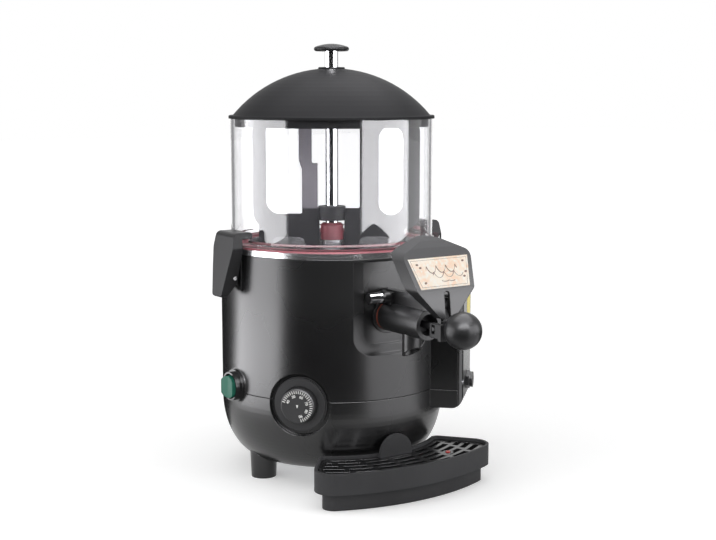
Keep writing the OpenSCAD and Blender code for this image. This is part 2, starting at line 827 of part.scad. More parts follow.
// Flat outline of the stirring paddle, x across and y up
module paddle_outline() {
    top = column_top - 2;
    bar_top = top - paddle_top_w;
    step_out = -step_bar_in - step_bar_w;
    arch = seal_r + seal_clear - 4;
    window_half = (paddle_half_w - seal_r - 47) / 2;
    window_x = seal_r + 25 + window_half;
    difference() {
        union() {
            polygon(belt([[arm_out - 16, cross_z0 + 16, 16], [arm_out - 5, bar_top - 5, 5],
                [arm_out - shoulder, top - 6, 6], [-arm2_out + shoulder, top - 6, 6],
                [-arm2_out + 5, bar_top - 5, 5], [-arm2_out + 20, cross_z0 + 20, 20]]));
            polygon(belt([[paddle_half_w - 20, paddle_z0 + 20, 20], [paddle_half_w - 4, cross_z0 + 6, 4],
                [-paddle_half_w + 4, cross_z0 + 6, 4], [-paddle_half_w + 20, paddle_z0 + 20, 20]]));
        }
        // window between the second arm and the stepped bar
        polygon(belt([[step_out + step_in - 5, cross_z1 - 4, 2], [step_out + step_in - 5, step_z - 4, 2],
            [step_out - 2, step_z + 6, 2], [step_out - 2, bar_top - 2, 2],
            [-arm2_out + arm2_w + 6, bar_top - 6, 6], [-arm2_out + arm2_w + 14, cross_z1 + 8, 14]]));
        // window round the column
        polygon(belt([[bar_in - 2, cross_z1 + 2, 2], [bar_in - 2, bar_top - 2, 2],
            [-step_bar_in + step_in + 2, bar_top - 2, 2], [-step_bar_in + step_in + 2, cross_z1 + 2, 2]]));
        polygon(belt([[0, step_z + 5, 2], [0, bar_top - 2, 2], [-step_bar_in + 2, bar_top - 2, 2],
            [-step_bar_in + 2, step_z + 5, 2]]));
        // slot between the wide arm and the inner bar
        slot_r = (arm_out - arm_w - bar_in - bar_w) / 2;
        slot_x = arm_out - arm_w - slot_r;
        polygon(belt([[slot_x, paddle_slot_z + slot_r, slot_r], [slot_x, bar_top - slot_r, slot_r]]));
        // open arch over the column's seal
        polygon(belt([[arch, paddle_z0 - 20, 4], [arch, seal_top + 6, 4], [-arch, seal_top + 6, 4],
            [-arch, paddle_z0 - 20, 4]]));
        // windows in the bowl
        for (middle = [-window_x, window_x]) polygon(belt([[middle + window_half, paddle_z0 + 26, 8],
            [middle + window_half, cross_z0 - 16, 8], [middle - window_half, cross_z0 - 16, 8],
            [middle - window_half, paddle_z0 + 26, 8]]));
        // hub room at the top
        translate([-hub_fit, top - 2]) square([2 * hub_fit, 10]);
    }
}

module stirring_paddle() {
    collar_z = seal_top + 3;
    hub_top = column_top + hub_over;
    color(black) rotate([0, 0, -paddle_turn]) difference() {
        union() {
            translate([0, paddle_t / 2, 0]) rotate([90, 0, 0]) linear_extrude(paddle_t) paddle_outline();
            translate([0, 0, column_top - 12]) cylinder(r = paddle_hub_r, h = hub_top - column_top + 12);
            translate([0, 0, collar_z]) cylinder(r = seal_r + seal_clear + 1.5,
                h = cross_z1 + 2.5 - collar_z);
        }
        translate([0, 0, collar_z - 5]) cylinder(r = column_r + 1, h = column_top + 0.5 - collar_z + 5);
        translate([0, 0, column_top - 5]) cylinder(r = shaft_r, h = hub_over + 6);
    }
}

module paddle_nut() {
    color("silver") difference() {
        translate([0, 0, column_top + hub_over]) cylinder(r = 8, h = 8, $fn = 6);
        translate([0, 0, column_top + hub_over - 1]) cylinder(r = shaft_r, h = shaft_over - hub_over + 1);
    }
}

// ---- container and lid -----------------------------------------------------

module container() {
    color([0.85, 0.9, 0.95, 0.35]) rotate_extrude() polygon([[container_in, clamp_z], [clamp_r, clamp_z],
        [clamp_r, clamp_z + clamp_t], [container_r + 1.5, clamp_z + clamp_t], [container_r,
            clamp_z + clamp_t + 1.5],
        [container_r, container_top], [container_in, container_top]]);
}

module lid() {
    rim_z = container_top + 0.2;
    inner_r = dome_r - lid_wall;
    skirt_out = container_in - skirt_gap;
    skirt_in = skirt_out - 2.5;
    edge_a = asin(dome_edge_r / dome_r);
    in_a = asin(skirt_in / inner_r);
    color(black) difference() {
        union() {
            rotate_extrude() polygon(concat(
                [[0, dome_centre + inner_r]],
                [for (i = [1:16]) [inner_r * sin(in_a * i / 16),
                    dome_centre + inner_r * cos(in_a * i / 16)]],
                [[skirt_in, rim_z - skirt_h], [skirt_out, rim_z - skirt_h], [skirt_out, rim_z],
                    [lid_r, rim_z], [lid_r, rim_z + 2.6], [lid_r - 0.8, rim_z + 3.4]],
                [for (i = [16:-1:0]) [dome_r * sin(edge_a * i / 16),
                    dome_centre + dome_r * cos(edge_a * i / 16)]]));
            translate([0, 0, lid_apex - 3]) cylinder(r1 = 15.5, r2 = 14, h = 4);
        }
        translate([0, 0, lid_apex - 10]) cylinder(r = 2.6, h = 20);
    }
}

module lid_knob_stem() {
    color("silver") {
        translate([0, 0, stem_z]) cylinder(r = stem_r, h = stem_h);
        translate([0, 0, stem_z - 10]) cylinder(r = 2.5, h = 11);
    }
}

module lid_knob_cap() {
    z0 = stem_z + stem_h;
    crown = cap_r * 2.6;
    edge = 2.5;
    top_a = asin((cap_r - edge) / crown);
    color(black) rotate_extrude() polygon(concat(
        [[0, z0]], [[cap_r - edge, z0]],
        arc(cap_r - edge, z0 + edge, edge, -90, 90 - top_a, 8),
        [for (i = [8:-1:0]) [crown * sin(top_a * i / 8) * (cap_r - edge) / (crown * sin(top_a)),
            z0 + cap_h - crown + crown * cos(top_a * i / 8)]]));
}

module lid_knob_nut() {
    color("silver") difference() {
        translate([0, 0, lid_apex - lid_wall - 4.2]) cylinder(r = 6, h = 4, $fn = 6);
        translate([0, 0, lid_apex - lid_wall - 5]) cylinder(r = 2.5, h = 6);
    }
}

// ---- latches, drawn on the right with +X outwards ---------------------------

module latch_profile() {
    polygon(belt([[latch_low_out - 2, latch_low_z + 2, 2], [latch_pivot_r + 5.5, latch_pivot_z + 7, 5],
        [latch_top_out - 6, latch_top_z - 6, 6], [latch_reach + 2, latch_top_z - 2, 2],
        [latch_reach + 2, hook_z + 2, 2], [body_r + 4.5, latch_low_z + 2, 2]]));
}

module latch_face(inset) {
    polygon(belt([[latch_low_w / 2 - 5, latch_low_z + 5, 5], [latch_top_w / 2 - 6, latch_top_z - 16, 6],
        [latch_top_w / 2 - 9, latch_top_z + 6, 6], [-latch_top_w / 2 + 9, latch_top_z + 6, 6],
        [-latch_top_w / 2 + 6, latch_top_z - 16, 6], [-latch_low_w / 2 + 5, latch_low_z + 5, 5]], inset));
}

module latch_solid() {
    intersection() {
        translate([0, 40, 0]) rotate([90, 0, 0]) linear_extrude(80) latch_profile();
        translate([90, 0, 0]) rotate([90, 0, 90]) linear_extrude(80) latch_face(0);
    }
}

module latch_lever() {
    far = latch_low_out + 10;
    color(black) difference() {
        intersection() {
            translate([0, 40, 0]) rotate([90, 0, 0]) linear_extrude(80)
                polygon([[far, latch_low_z - 6], [far, latch_top_z + 6], [latch_reach, latch_top_z + 6],
                    [latch_reach, hook_z], [body_r + 2, hook_z], [body_r + 2, body_top + 5],
                        [body_r + 3.9, latch_pivot_z + 5],
                    [body_r + 4.1, latch_pivot_z - 5], [latch_low_out - 8, latch_low_z + 2],
                        [latch_low_out - 8, latch_low_z - 6]]);
            latch_solid();
        }
        intersection() {
            translate([90, 0, 0]) rotate([90, 0, 90]) linear_extrude(80) latch_face(latch_wall);
            translate([0, 40, 0]) rotate([90, 0, 0]) linear_extrude(80)
                polygon([[latch_low_out - latch_wall, latch_low_z - 11], [latch_low_out - latch_wall,
                    latch_low_z + 2],
                    [latch_pivot_r + 10.5 - latch_wall, latch_pivot_z + 7], [body_r + 3.7, hook_z - 1.5],
                    [body_r - 3.5, hook_z - 1.5], [body_r - 11.5, latch_low_z - 11]]);
        }
        translate([latch_pivot_r, 30, latch_pivot_z]) rotate([90, 0, 0])
            cylinder(r = latch_pin_r + fit, h = 60);
    }
}

module latch_pad() {
    color(rubber) intersection() {
        difference() {
            translate([0, 0, pad_z]) cylinder(r = clamp_r + 1.5, h = latch_pad_t);
            translate([0, 0, pad_z - 1]) cylinder(r = latch_reach + 1, h = latch_pad_t + 2);
        }
        translate([100, -12, pad_z - 5]) cube([40, 24, 20]);
    }
}

module latch_bracket() {
    color(black) difference() {
        union() {
            intersection() {
                ring(body_r + 1.6, body_r, latch_pivot_z - 14, body_top - 1);
                translate([100, -14, 200]) cube([40, 28, 60]);
            }
            for (y = [-8.4, 5.4]) intersection() {
                translate([0, y + 3, 0]) rotate([90, 0, 0]) linear_extrude(3)
                    polygon(belt([[latch_pivot_r, latch_pivot_z, 4.6], [body_r - 3.5,
                        latch_pivot_z + 12, 4], [body_r - 3.5, latch_pivot_z - 6, 4]]));
                difference() { slab(190, 250); cylinder(r = body_r, h = 300); }
            }
        }
        translate([latch_pivot_r, 30, latch_pivot_z]) rotate([90, 0, 0]) cylinder(r = latch_pin_r, h = 60);
    }
}

module latch_pin() {
    color("silver") translate([latch_pivot_r, latch_pin_l / 2, latch_pivot_z]) rotate([90, 0, 0])
        cylinder(r = latch_pin_r, h = latch_pin_l);
}

// ---- controls ----------------------------------------------------------------

module thermostat_body() {
    color("#b8b4a8") outwards(dial_angle) {
        difference() {
            bar_x(thermo_r, dial_floor - wall - thermo_l, dial_floor - wall, 0, dial_z);
            bar_x(spindle_r + running, dial_floor - wall - thermo_l + 4, dial_floor, 0, dial_z);
        }
        translate([dial_floor - wall - thermo_l - 6, -8, dial_z - 10]) cube([8, 16, 20]);
    }
}

module thermostat_bezel() {
    color(black) outwards(dial_angle) difference() {
        union() {
            bar_x(bezel_r, dial_floor, dial_floor + 1.6, 0, dial_z);
            bar_x(bezel_r - 1.5, dial_floor, dial_floor + bezel_t, 0, dial_z);
        }
        bar_x(dial_r + 1.6, dial_floor + 1.4, dial_floor + bezel_t + 1, 0, dial_z);
        bar_x(spindle_r + 0.6, dial_floor - 1, dial_floor + 3, 0, dial_z);
    }
}

module thermostat_spindle() {
    color("silver") outwards(dial_angle) bar_x(spindle_r, dial_floor - wall - 12, spindle_end, 0, dial_z);
}

module thermostat_dial() {
    color(black) outwards(dial_angle) difference() {
        union() {
            bar_x(dial_r, dial_floor + 2, dial_floor + bezel_t + dial_h - 1.2, 0, dial_z);
            translate([dial_floor + bezel_t + dial_h - 1.2, 0, dial_z]) rotate([0, 90, 0])
                cylinder(r1 = dial_r, r2 = dial_r - 1.2, h = 1.2);
        }
        bar_x(spindle_r, dial_floor, spindle_end, 0, dial_z);
    }
}

module switch_body() {
    color("#d8d6cf") outwards(-90) {
        difference() {
            bar_x(14.6, switch_seat - 24, switch_seat - 9, 0, switch_z);
            bar_x(switch_bore_r, switch_seat - 14, switch_seat - 8, 0, switch_z);
        }
        for (y = [-6, 6]) translate([switch_seat - 32, y - 0.4, switch_z - 3]) cube([9, 0.8, 6]);
    }
}

module switch_bezel() {
    color("#1b1b1d") outwards(-90) difference() {
        union() {
            bar_x(switch_flange_r, switch_seat, switch_seat + 3, 0, switch_z);
            bar_x(switch_collar_r, switch_seat - 9, switch_seat + 8.5, 0, switch_z);
        }
        bar_x(switch_bore_r, switch_seat - 10, switch_seat + 10, 0, switch_z);
        translate([rocker_axis, 0, switch_z - 14.6]) cylinder(r = trunnion_r + fit, h = 29.2);
    }
}

module switch_rocker() {
    low = -6;
    side = 10.5;
    face = side + 5;
    color("#149a5c") outwards(-90) translate([rocker_axis, 0, switch_z]) rotate([0, 0, rocker_tilt]) {
        intersection() {
            bar_x(rocker_r, low, face + 5);
            translate([0, 0, -20]) linear_extrude(40) polygon([[low, -rocker_r], [side, -rocker_r + 0.8],
                [face, -rocker_r + 2.2], [face - 1.8, 0], [face, rocker_r - 2.2], [side,
                    rocker_r - 0.8], [low, rocker_r]]);
        }
        translate([0, 0, -14.4]) cylinder(r = trunnion_r, h = 28.8);
    }
}

// ---- tap -----------------------------------------------------------------------

module tap_socket() {
    color(black) difference() {
        union() {
            bar_y(18.5, flat_y, socket_y, 0, tap_z);
            bar_x(tap_boss_r, -tap_boss_out, -8, -tap_pin_y, tap_pin_z);
            translate([-9, -(tap_pin_y + 5), rib_z0 - 3]) cube([18, tap_pin_y + 5 - flat_y, 14]);
        }
        bar_y(tap_bore_r + 0.4, flat_y - 5, socket_y + 1, 0, tap_z);
        bar_y(tap_r + 0.4, socket_y, 140, 0, tap_z);
        translate([-rib_w / 2 - 0.2, -(tap_pin_y + 10), rib_z0 - 1.2]) cube([rib_w + 0.4,
            tap_pin_y + 10 - socket_y, 30]);
        bar_x(tap_pin_r + fit, -20, 20, -tap_pin_y, tap_pin_z);
    }
}

module tap_seal() {
    color(rubber) difference() {
        bar_y(tap_r - 0.1, socket_y, seal_y, 0, tap_z);
        bar_y(tap_bore_r, socket_y - 1, seal_y + 1, 0, tap_z);
    }
}

module tap_body() {
    color(black) difference() {
        union() {
            bar_y(tap_r, seal_y, tap_end, 0, tap_z);
            bar_y(tap_bore_r - 0.2, flat_y - 8, seal_y + 1, 0, tap_z);
            translate([0, -spout_y, spout_z]) cylinder(r = spout_r, h = tap_z - spout_z);
            translate([-rib_w / 2, -ear_back - 1, rib_z0]) cube([rib_w, ear_back + 1 - socket_y - 1.5,
                12.5]);
            translate([-rib_w / 2, -tap_end, tap_z + 5]) cube([rib_w, tap_end - seal_y - 4, 20]);
            translate([-ear_half_w, -ear_back, rib_z0]) cube([2 * ear_half_w, 9, rib_top - rib_z0]);
            for (x = [-ear_half_w, ear_half_w - ear_t]) {
                bar_x(ear_r, x, x + ear_t, -lever_y, lever_z);
                translate([x, -lever_y, lever_z - ear_r]) cube([ear_t, lever_y - ear_back + 1, 2 * ear_r]);
            }
        }
        bar_y(tap_bore_r, seat_y, tap_end + 1, 0, tap_z);
        bar_y(8, flat_y - 10, seat_y + 1, 0, tap_z);
        translate([0, -spout_y, spout_z - 1]) cylinder(r = spout_r - spout_wall, h = tap_z - spout_z);
        translate([0, -spout_y - spout_r, spout_z + 12]) rotate([-32, 0, 0]) translate([-20, -20,
            -30]) cube([40, 60, 30]);
        bar_x(tap_pin_r + fit, -20, 20, -tap_pin_y, tap_pin_z);
        bar_x(lever_pin_r, -20, 20, -lever_y, lever_z);
        translate([0, -shield_screw_y, rib_top - 9]) cylinder(r = shield_screw_r, h = 20);
    }
}

module tap_pin() {
    head = -tap_boss_out - 0.4;
    color("silver") difference() {
        union() {
            bar_x(tap_pin_r, head - 1, 13, -tap_pin_y, tap_pin_z);
            bar_x(tap_pin_head_r, head - tap_pin_head_l, head - 2, -tap_pin_y, tap_pin_z);
            bar_x(tap_pin_head_r - 1.6, head - 2, head, -tap_pin_y, tap_pin_z);
        }
        for (a = [0:15:345]) translate([0, -tap_pin_y, tap_pin_z]) rotate([a, 0, 0])
            translate([head - tap_pin_head_l + 2.5, tap_pin_head_r - 0.5, -0.35])
                cube([tap_pin_head_l - 6, 2, 0.7]);
    }
}

module tap_piston() {
    disc0 = 158;
    color("#d9d7d0") {
        difference() {
            union() {
                bar_y(rod_r, seat_y + 7, lever_y + 3.5, 0, tap_z);
                bar_y(tap_bore_r - fit, disc0, disc0 + 6, 0, tap_z);
            }
            bar_x(1.9, -10, 10, -lever_y, tap_z);
        }
        bar_x(1.9, -fork_w / 2, fork_w / 2, -lever_y, tap_z);
    }
}

module valve_plug() {
    color(rubber) difference() {
        translate([0, -seat_y - 0.2, tap_z]) rotate([90, 0, 0]) cylinder(r1 = 9.4, r2 = 8.4, h = 8.5);
        bar_y(rod_r, seat_y + 7, seat_y + 12, 0, tap_z);
    }
}

module tap_lever() {
    travel_up = 2.4;
    color(black) difference() {
        union() {
            bar_x(hub_r, -lever_hub_w / 2, lever_hub_w / 2, -lever_y, lever_z);
            across(blade_t) polygon([[lever_y - 2, lever_z - 2], [lever_y + 6.5, lever_z - 3],
                [lever_y + 14, ball_z + 5], [lever_y + 14, ball_z - 6], [lever_y + 7.5, tap_z - 10],
                    [lever_y + 7.5, lever_z - 8]]);
            translate([-fork_w / 2, -lever_y - 12.5, tap_z - 11]) cube([fork_w, 5, 16.5]);
            for (x = [-fork_w / 2, rod_r + 0.7])
                translate([x, -lever_y - 8, tap_z - 9]) cube([fork_w / 2 - rod_r - 0.7, 13.5, 14.5]);
            bar_y(6.5, lever_y + 10, ball_y - ball_r + 2, 0, ball_z);
            bar_y(stud_r, ball_y - ball_r, ball_y - 4, 0, ball_z);
        }
        bar_x(lever_pin_r + fit, -20, 20, -lever_y, lever_z);
        translate([-20, -lever_y - 2.35, tap_z - travel_up - 2.4]) cube([40, 4.7, 2 * travel_up + 4]);
        bar_x(hub_r + 1.2, lever_hub_w / 2, 20, -lever_y, lever_z);
        bar_x(hub_r + 1.2, -20, -lever_hub_w / 2, -lever_y, lever_z);
    }
}

module lever_pin() { color("silver") bar_x(lever_pin_r, -ear_half_w, ear_half_w, -lever_y, lever_z); }

module lever_knob() {
    back = ball_r - 2;
    color(black) translate([0, -ball_y, ball_z]) rotate([90, 0, 0]) rotate_extrude() difference() {
        intersection() {
            circle(r = ball_r);
            translate([0, -back]) square([ball_r + 1, back + ball_r + 1]);
        }
        translate([-1, -ball_r - 1]) square([stud_r + 1, ball_r - 3]);
    }
}

// ---- shield --------------------------------------------------------------------

shield_circles = [[5.5, 201, 7], [27.5, 226, 8], [33, 252, 8], [0, 242, 30],
    [-33, 252, 8], [-27.5, 226, 8], [-5.5, 201, 7]];

module shield_side(back) {
    polygon([[face_tip_y, 185], [face_low_y, face_low_z], [face_high_y, face_high_z], [face_high_y - 5,
        268.5],
        [face_high_y - 12, 273], [back, 274], [back, 262], [back + 8, 250], [back + 12, 240],
            [back + 21, 222],
        [back + 27, 210], [back + 33, 198], [back + 36, 185]]);
}

module shield_hollow() {
    t = shield_t;
    polygon([[face_tip_y - t, 170], [face_low_y - t, face_low_z], [face_high_y - t * 1.1, face_high_z],
        [face_high_y - 8, 267], [face_high_y - 14, 271], [140, 272], [140, 170]]);
}

module on_face() {
    translate([0, -face_low_y + (label_z - face_low_z) * tan(face_tilt), label_z])
        rotate([90 - face_tilt, 0, 0]) children();
}

module label_shape(inset) {
    polygon([[-label_low_half + inset, -label_half_h + inset], [label_low_half - inset,
        -label_half_h + inset],
        [label_top_half - inset, label_half_h - inset], [-label_top_half + inset, label_half_h - inset]]);
}

module tap_shield() {
    shelf_y0 = ear_back - 12;
    shelf_y1 = face_low_y - 1;
    color(black) difference() {
        union() {
            difference() {
                intersection() {
                    forwards(150, 220) polygon(belt(shield_circles));
                    across(120) shield_side(shield_back_y);
                }
                intersection() {
                    forwards(130, 225) polygon(belt(shield_circles, shield_t));
                    across(120) shield_hollow();
                }
            }
            translate([-12, -shelf_y1, rib_top]) cube([24, shelf_y1 - shelf_y0, shelf_t]);
        }
        translate([-slot_half_w, -225, 180]) cube([2 * slot_half_w, 24.5, slot_top - slot_half_w - 180]);
        bar_y(slot_half_w, 200.5, 225, 0, slot_top - slot_half_w);
        on_face() translate([0, 0, -label_t]) linear_extrude(5) label_shape(-0.2);
        translate([0, -shield_screw_y, rib_top - 5]) cylinder(r = shield_screw_r + 0.2, h = 20);
    }
}

module shield_screws() {
    color("silver") translate([0, -shield_screw_y, 0]) {
        translate([0, 0, rib_top - 8]) cylinder(r = shield_screw_r, h = 8 + shelf_t + 0.5);
        translate([0, 0, rib_top + shelf_t]) cylinder(r = 2.8, h = 2);
    }
}

module label_plate() { color("#efd9bd") on_face() translate([0, 0, -label_t]) linear_extrude(label_t)
    label_shape(0); }

// ---- drip tray -------------------------------------------------------------------

// Outline of the tray, drawn in by inset; its rear edge is cut by a circle afterwards
function tray_line(inset) = let (
    fy = tray_front_r - tray_front_y,
    cy = fy - sqrt(pow(tray_front_r - tray_corner_r, 2) - pow(tray_corner_x, 2)),
    corner = [tray_corner_x, cy, tray_corner_r],
    back_a = -54,
    back_d = tray_rear_r + tray_back_corner_r,
    back = [back_d * cos(back_a), back_d * sin(back_a), tray_back_corner_r],
    front_a = atan2(cy - fy, tray_corner_x),
    side_a = belt_normal(corner, back)) concat(
        arc(0, fy, tray_front_r - inset, -180 - front_a, front_a, 24),
        arc(corner[0], corner[1], corner[2] - inset, front_a, side_a, 10),
        arc(back[0], back[1], back[2] - inset, side_a, 90, 6),
        arc(-back[0], back[1], back[2] - inset, 90, 180 - side_a, 6),
        arc(-corner[0], corner[1], corner[2] - inset, 180 - side_a, 180 - front_a, 10));

module tray_plan(inset, z0, z1) {
    translate([0, 0, z0]) difference() {
        linear_extrude(z1 - z0) polygon(tray_line(inset));
        translate([0, 0, -1]) cylinder(r = tray_rear_r + inset, h = z1 - z0 + 2);
    }
}

module drip_tray() {
    tab_y = tray_rear_r + 4.5;
    color(black) difference() {
        union() {
            tray_plan(tray_step, 0, tray_step_z + 1);
            tray_plan(0, tray_step_z, tray_h);
            translate([-tab_r, -tab_y - 3.4, grille_z - 1]) cube([2 * tab_r, 6, tray_h - grille_z + 1]);
            intersection() {
                forwards(tab_y, tab_y + 3.4) translate([0, tray_h]) circle(r = tab_r);
                slab(tray_h - 1, tray_h + 30);
            }
        }
        tray_plan(tray_step + tray_wall, tray_wall, tray_step_z + 3);
        difference() {
            union() {
                tray_plan(tray_wall + 2.5, tray_step_z + tray_wall, grille_z + 1);
                tray_plan(tray_wall, grille_z, tray_h + 1);
            }
            translate([-tab_r, -tab_y - 3.4, grille_z - 1]) cube([2 * tab_r, 12, 40]);
        }
    }
}

module slot_ring(r) {
    count = round(r * 0.62 / 11.5);
    for (i = [-count:count]) rotate([0, 0, -90 + i * 11.5 * 115 / r * 1.28 - 6 * 115 / r])
        rotate_extrude(angle = 12 * 115 / r) translate([r, grille_z - 1]) square([grille_slot,
            grille_t + 2]);
}

module drip_grille() {
    color(black) difference() {
        tray_plan(tray_wall + loose, grille_z, grille_z + grille_t);
        translate([-tab_r - 0.6, -tray_rear_r - 8.6, grille_z - 1]) cube([2 * tab_r + 1.2, 30, 10]);
        intersection() {
            union() for (i = [0:4]) slot_ring(tray_rear_r + 7.5 + i * grille_pitch);
            tray_plan(tray_wall + 5.5, grille_z - 2, grille_z + 8);
            difference() {
                slab(grille_z - 2, grille_z + 8);
                translate([float_x, float_y, 0]) cylinder(r = float_r + 3.5, h = 100);
                translate([-tab_r - 4, -tray_rear_r - 12, 0]) cube([2 * tab_r + 8, 30, 100]);
            }
        }
        translate([float_x, float_y, 0]) cylinder(r = float_r + 0.8, h = 100);
    }
}

module float_indicator() {
    color("#c8322b") translate([float_x, float_y, tray_wall + 0.2]) {
        cylinder(r = 9, h = 7);
        cylinder(r = float_r, h = grille_z + grille_t + 1 - tray_wall - 0.2);
    }
}

// ---- nodes -----------------------------------------------------------------------

upper_housing();
lower_housing();
base_plate();
base_screws();
foot(0);  // foot_front
foot(90);  // foot_right
foot(180);  // foot_rear
foot(-90);  // foot_left
control_box_cover();
cover_screws();
cable_gland();
control_board();
chocolate_bowl();
water_tank();
heating_element();
bowl_gasket();
column_tube();
column_seal();
shaft_bushes();
gearmotor();
motor_bracket();
drive_shaft();
shaft_coupling();
stirring_paddle();
paddle_nut();
container();
lid();
lid_knob_stem();
lid_knob_cap();
lid_knob_nut();
mirror([1, 0, 0]) latch_bracket();  // latch_bracket_left
latch_bracket();  // latch_bracket_right
mirror([1, 0, 0]) latch_pin();  // latch_pin_left
latch_pin();  // latch_pin_right
mirror([1, 0, 0]) latch_lever();  // latch_left
latch_lever();  // latch_right
mirror([1, 0, 0]) latch_pad();  // latch_pad_left
latch_pad();  // latch_pad_right
thermostat_body();
thermostat_bezel();
thermostat_spindle();
thermostat_dial();
switch_body();
switch_bezel();
switch_rocker();
tap_socket();
tap_seal();
tap_body();
tap_pin();
tap_piston();
valve_plug();
tap_lever();
lever_pin();
lever_knob();
tap_shield();
shield_screws();
label_plate();
drip_tray();
drip_grille();
float_indicator();
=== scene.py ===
import math

import bmesh
import bpy
from mathutils import Matrix, Vector


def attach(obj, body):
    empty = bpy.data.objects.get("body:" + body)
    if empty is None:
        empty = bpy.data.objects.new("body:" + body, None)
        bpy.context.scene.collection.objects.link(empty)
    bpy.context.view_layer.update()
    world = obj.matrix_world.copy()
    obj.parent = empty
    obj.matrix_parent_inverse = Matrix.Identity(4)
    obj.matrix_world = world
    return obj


# Lengths are in metres. Angles round the machine go from its front towards its right.

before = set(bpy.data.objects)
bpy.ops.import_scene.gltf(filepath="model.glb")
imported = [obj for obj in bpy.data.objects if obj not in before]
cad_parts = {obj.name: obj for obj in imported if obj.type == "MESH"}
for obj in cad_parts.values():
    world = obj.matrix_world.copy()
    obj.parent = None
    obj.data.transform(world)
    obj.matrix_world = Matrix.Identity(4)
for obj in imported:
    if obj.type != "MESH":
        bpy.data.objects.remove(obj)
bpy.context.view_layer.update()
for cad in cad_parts.values():
    cad.select_set(False)

bpy.context.scene.view_settings.view_transform = "Standard"

# ---- camera -----------------------------------------------------------------

camera_spot = (-0.7796, -1.2027, 0.4166)
camera_turn = math.radians(34.094)  # from straight at the front towards +X
camera_dip = math.radians(7.881)
lens_millimetres = 65.96
sensor_millimetres = 36.0

camera_data = bpy.data.cameras.new("camera")
camera = bpy.data.objects.new("camera", camera_data)
bpy.context.scene.collection.objects.link(camera)
bpy.context.scene.camera = camera
camera_data.sensor_width = sensor_millimetres
camera_data.lens = lens_millimetres
camera_data.clip_start = 0.05
camera_data.clip_end = 40.0
camera.location = camera_spot
looking = Vector((math.sin(camera_turn) * math.cos(camera_dip),
                  math.cos(camera_turn) * math.cos(camera_dip),
                  -math.sin(camera_dip)))
camera.rotation_euler = looking.to_track_quat("-Z", "Y").to_euler()


# ---- material helpers -------------------------------------------------------

fine_grain = 1400  # of a moulded surface, in noise cells per metre
grain_depth = 0.00003
polished_depth = 0.00001
grain_strength = 0.6
slow_cells = 9  # of the slow changes of tone and sheen, per metre


def new_material(name):
    """An empty material with one Principled shader on its surface."""
    material = bpy.data.materials.new(name)
    material.use_nodes = True
    tree = material.node_tree
    tree.nodes.clear()
    output = tree.nodes.new("ShaderNodeOutputMaterial")
    shader = tree.nodes.new("ShaderNodeBsdfPrincipled")
    tree.links.new(shader.outputs["BSDF"], output.inputs["Surface"])
    return material, tree, shader, output


def object_place(tree, scale=(1, 1, 1), turn=0.0):
    """Object coordinates, scaled and turned about Z."""
    coordinate = tree.nodes.new("ShaderNodeTexCoord")
    mapping = tree.nodes.new("ShaderNodeMapping")
    mapping.inputs["Scale"].default_value = scale
    mapping.inputs["Rotation"].default_value = (0, 0, turn)
    tree.links.new(coordinate.outputs["Object"], mapping.inputs["Vector"])
    return mapping.outputs["Vector"]


def sides_of(tree, vector):
    """The X, Y and Z outputs of a vector."""
    parts = tree.nodes.new("ShaderNodeSeparateXYZ")
    tree.links.new(vector, parts.inputs["Vector"])
    return parts.outputs


def noise(tree, vector, scale, detail=2.0):
    """Cloudy noise, scale cells to the metre."""
    node = tree.nodes.new("ShaderNodeTexNoise")
    node.inputs["Scale"].default_value = scale
    node.inputs["Detail"].default_value = detail
    tree.links.new(vector, node.inputs["Vector"])
    return node.outputs["Fac"]


def stretch(tree, value, low, high, low_from=0.3, high_from=0.7):
    """Maps a value from one range to another, and stops at the range's ends."""
    node = tree.nodes.new("ShaderNodeMapRange")
    node.inputs["From Min"].default_value = low_from
    node.inputs["From Max"].default_value = high_from
    node.inputs["To Min"].default_value = low
    node.inputs["To Max"].default_value = high
    tree.links.new(value, node.inputs["Value"])
    return node.outputs["Result"]


def step_at(tree, value, limit, below, above):
    """One number below a limit and another above it, with a short slope between."""
    slope = 0.001
    return stretch(tree, value, below, above, limit - slope, limit + slope)


def times(tree, first, second):
    """The product of two values."""
    node = tree.nodes.new("ShaderNodeMath")
    node.operation = "MULTIPLY"
    tree.links.new(first, node.inputs[0])
    tree.links.new(second, node.inputs[1])
    return node.outputs["Value"]


def two_colours(tree, factor, first, second):
    """A blend that goes from the first colour to the second."""
    node = tree.nodes.new("ShaderNodeMix")
    node.data_type = "RGBA"
    tree.links.new(factor, node.inputs["Factor"])
    node.inputs["A"].default_value = (*first, 1)
    node.inputs["B"].default_value = (*second, 1)
    return node.outputs["Result"]


def eased_edges(tree, radius):
    """The surface's normal with its sharp edges eased, as a mould leaves them."""
    node = tree.nodes.new("ShaderNodeBevel")
    node.samples = 4
    node.inputs["Radius"].default_value = radius
    return node.outputs["Normal"]


def bumped(tree, shader, height, distance, strength, edges=None):
    """Gives a shader small bumps, on top of eased edges if there are any."""
    node = tree.nodes.new("ShaderNodeBump")
    if edges is not None:
        tree.links.new(edges, node.inputs["Normal"])
    node.inputs["Strength"].default_value = strength
    node.inputs["Distance"].default_value = distance
    tree.links.new(height, node.inputs["Height"])
    tree.links.new(node.outputs["Normal"], shader.inputs["Normal"])


# ---- kinds of finish --------------------------------------------------------


def moulded_plastic(name, dark, light, rough, grain=fine_grain, depth=grain_depth, shine=0.5,
                    ease=0.0):
    """Moulded plastic with a fine grain and slow changes of tone and sheen."""
    material, tree, shader, _ = new_material(name)
    place = object_place(tree)
    slow = noise(tree, place, slow_cells, 3)
    tone = two_colours(tree, stretch(tree, slow, 0, 1), dark, light)
    tree.links.new(tone, shader.inputs["Base Color"])
    tree.links.new(stretch(tree, slow, *rough), shader.inputs["Roughness"])
    shader.inputs["Specular IOR Level"].default_value = shine
    edges = eased_edges(tree, ease) if ease else None
    bumped(tree, shader, noise(tree, place, grain), depth, grain_strength, edges)
    return material


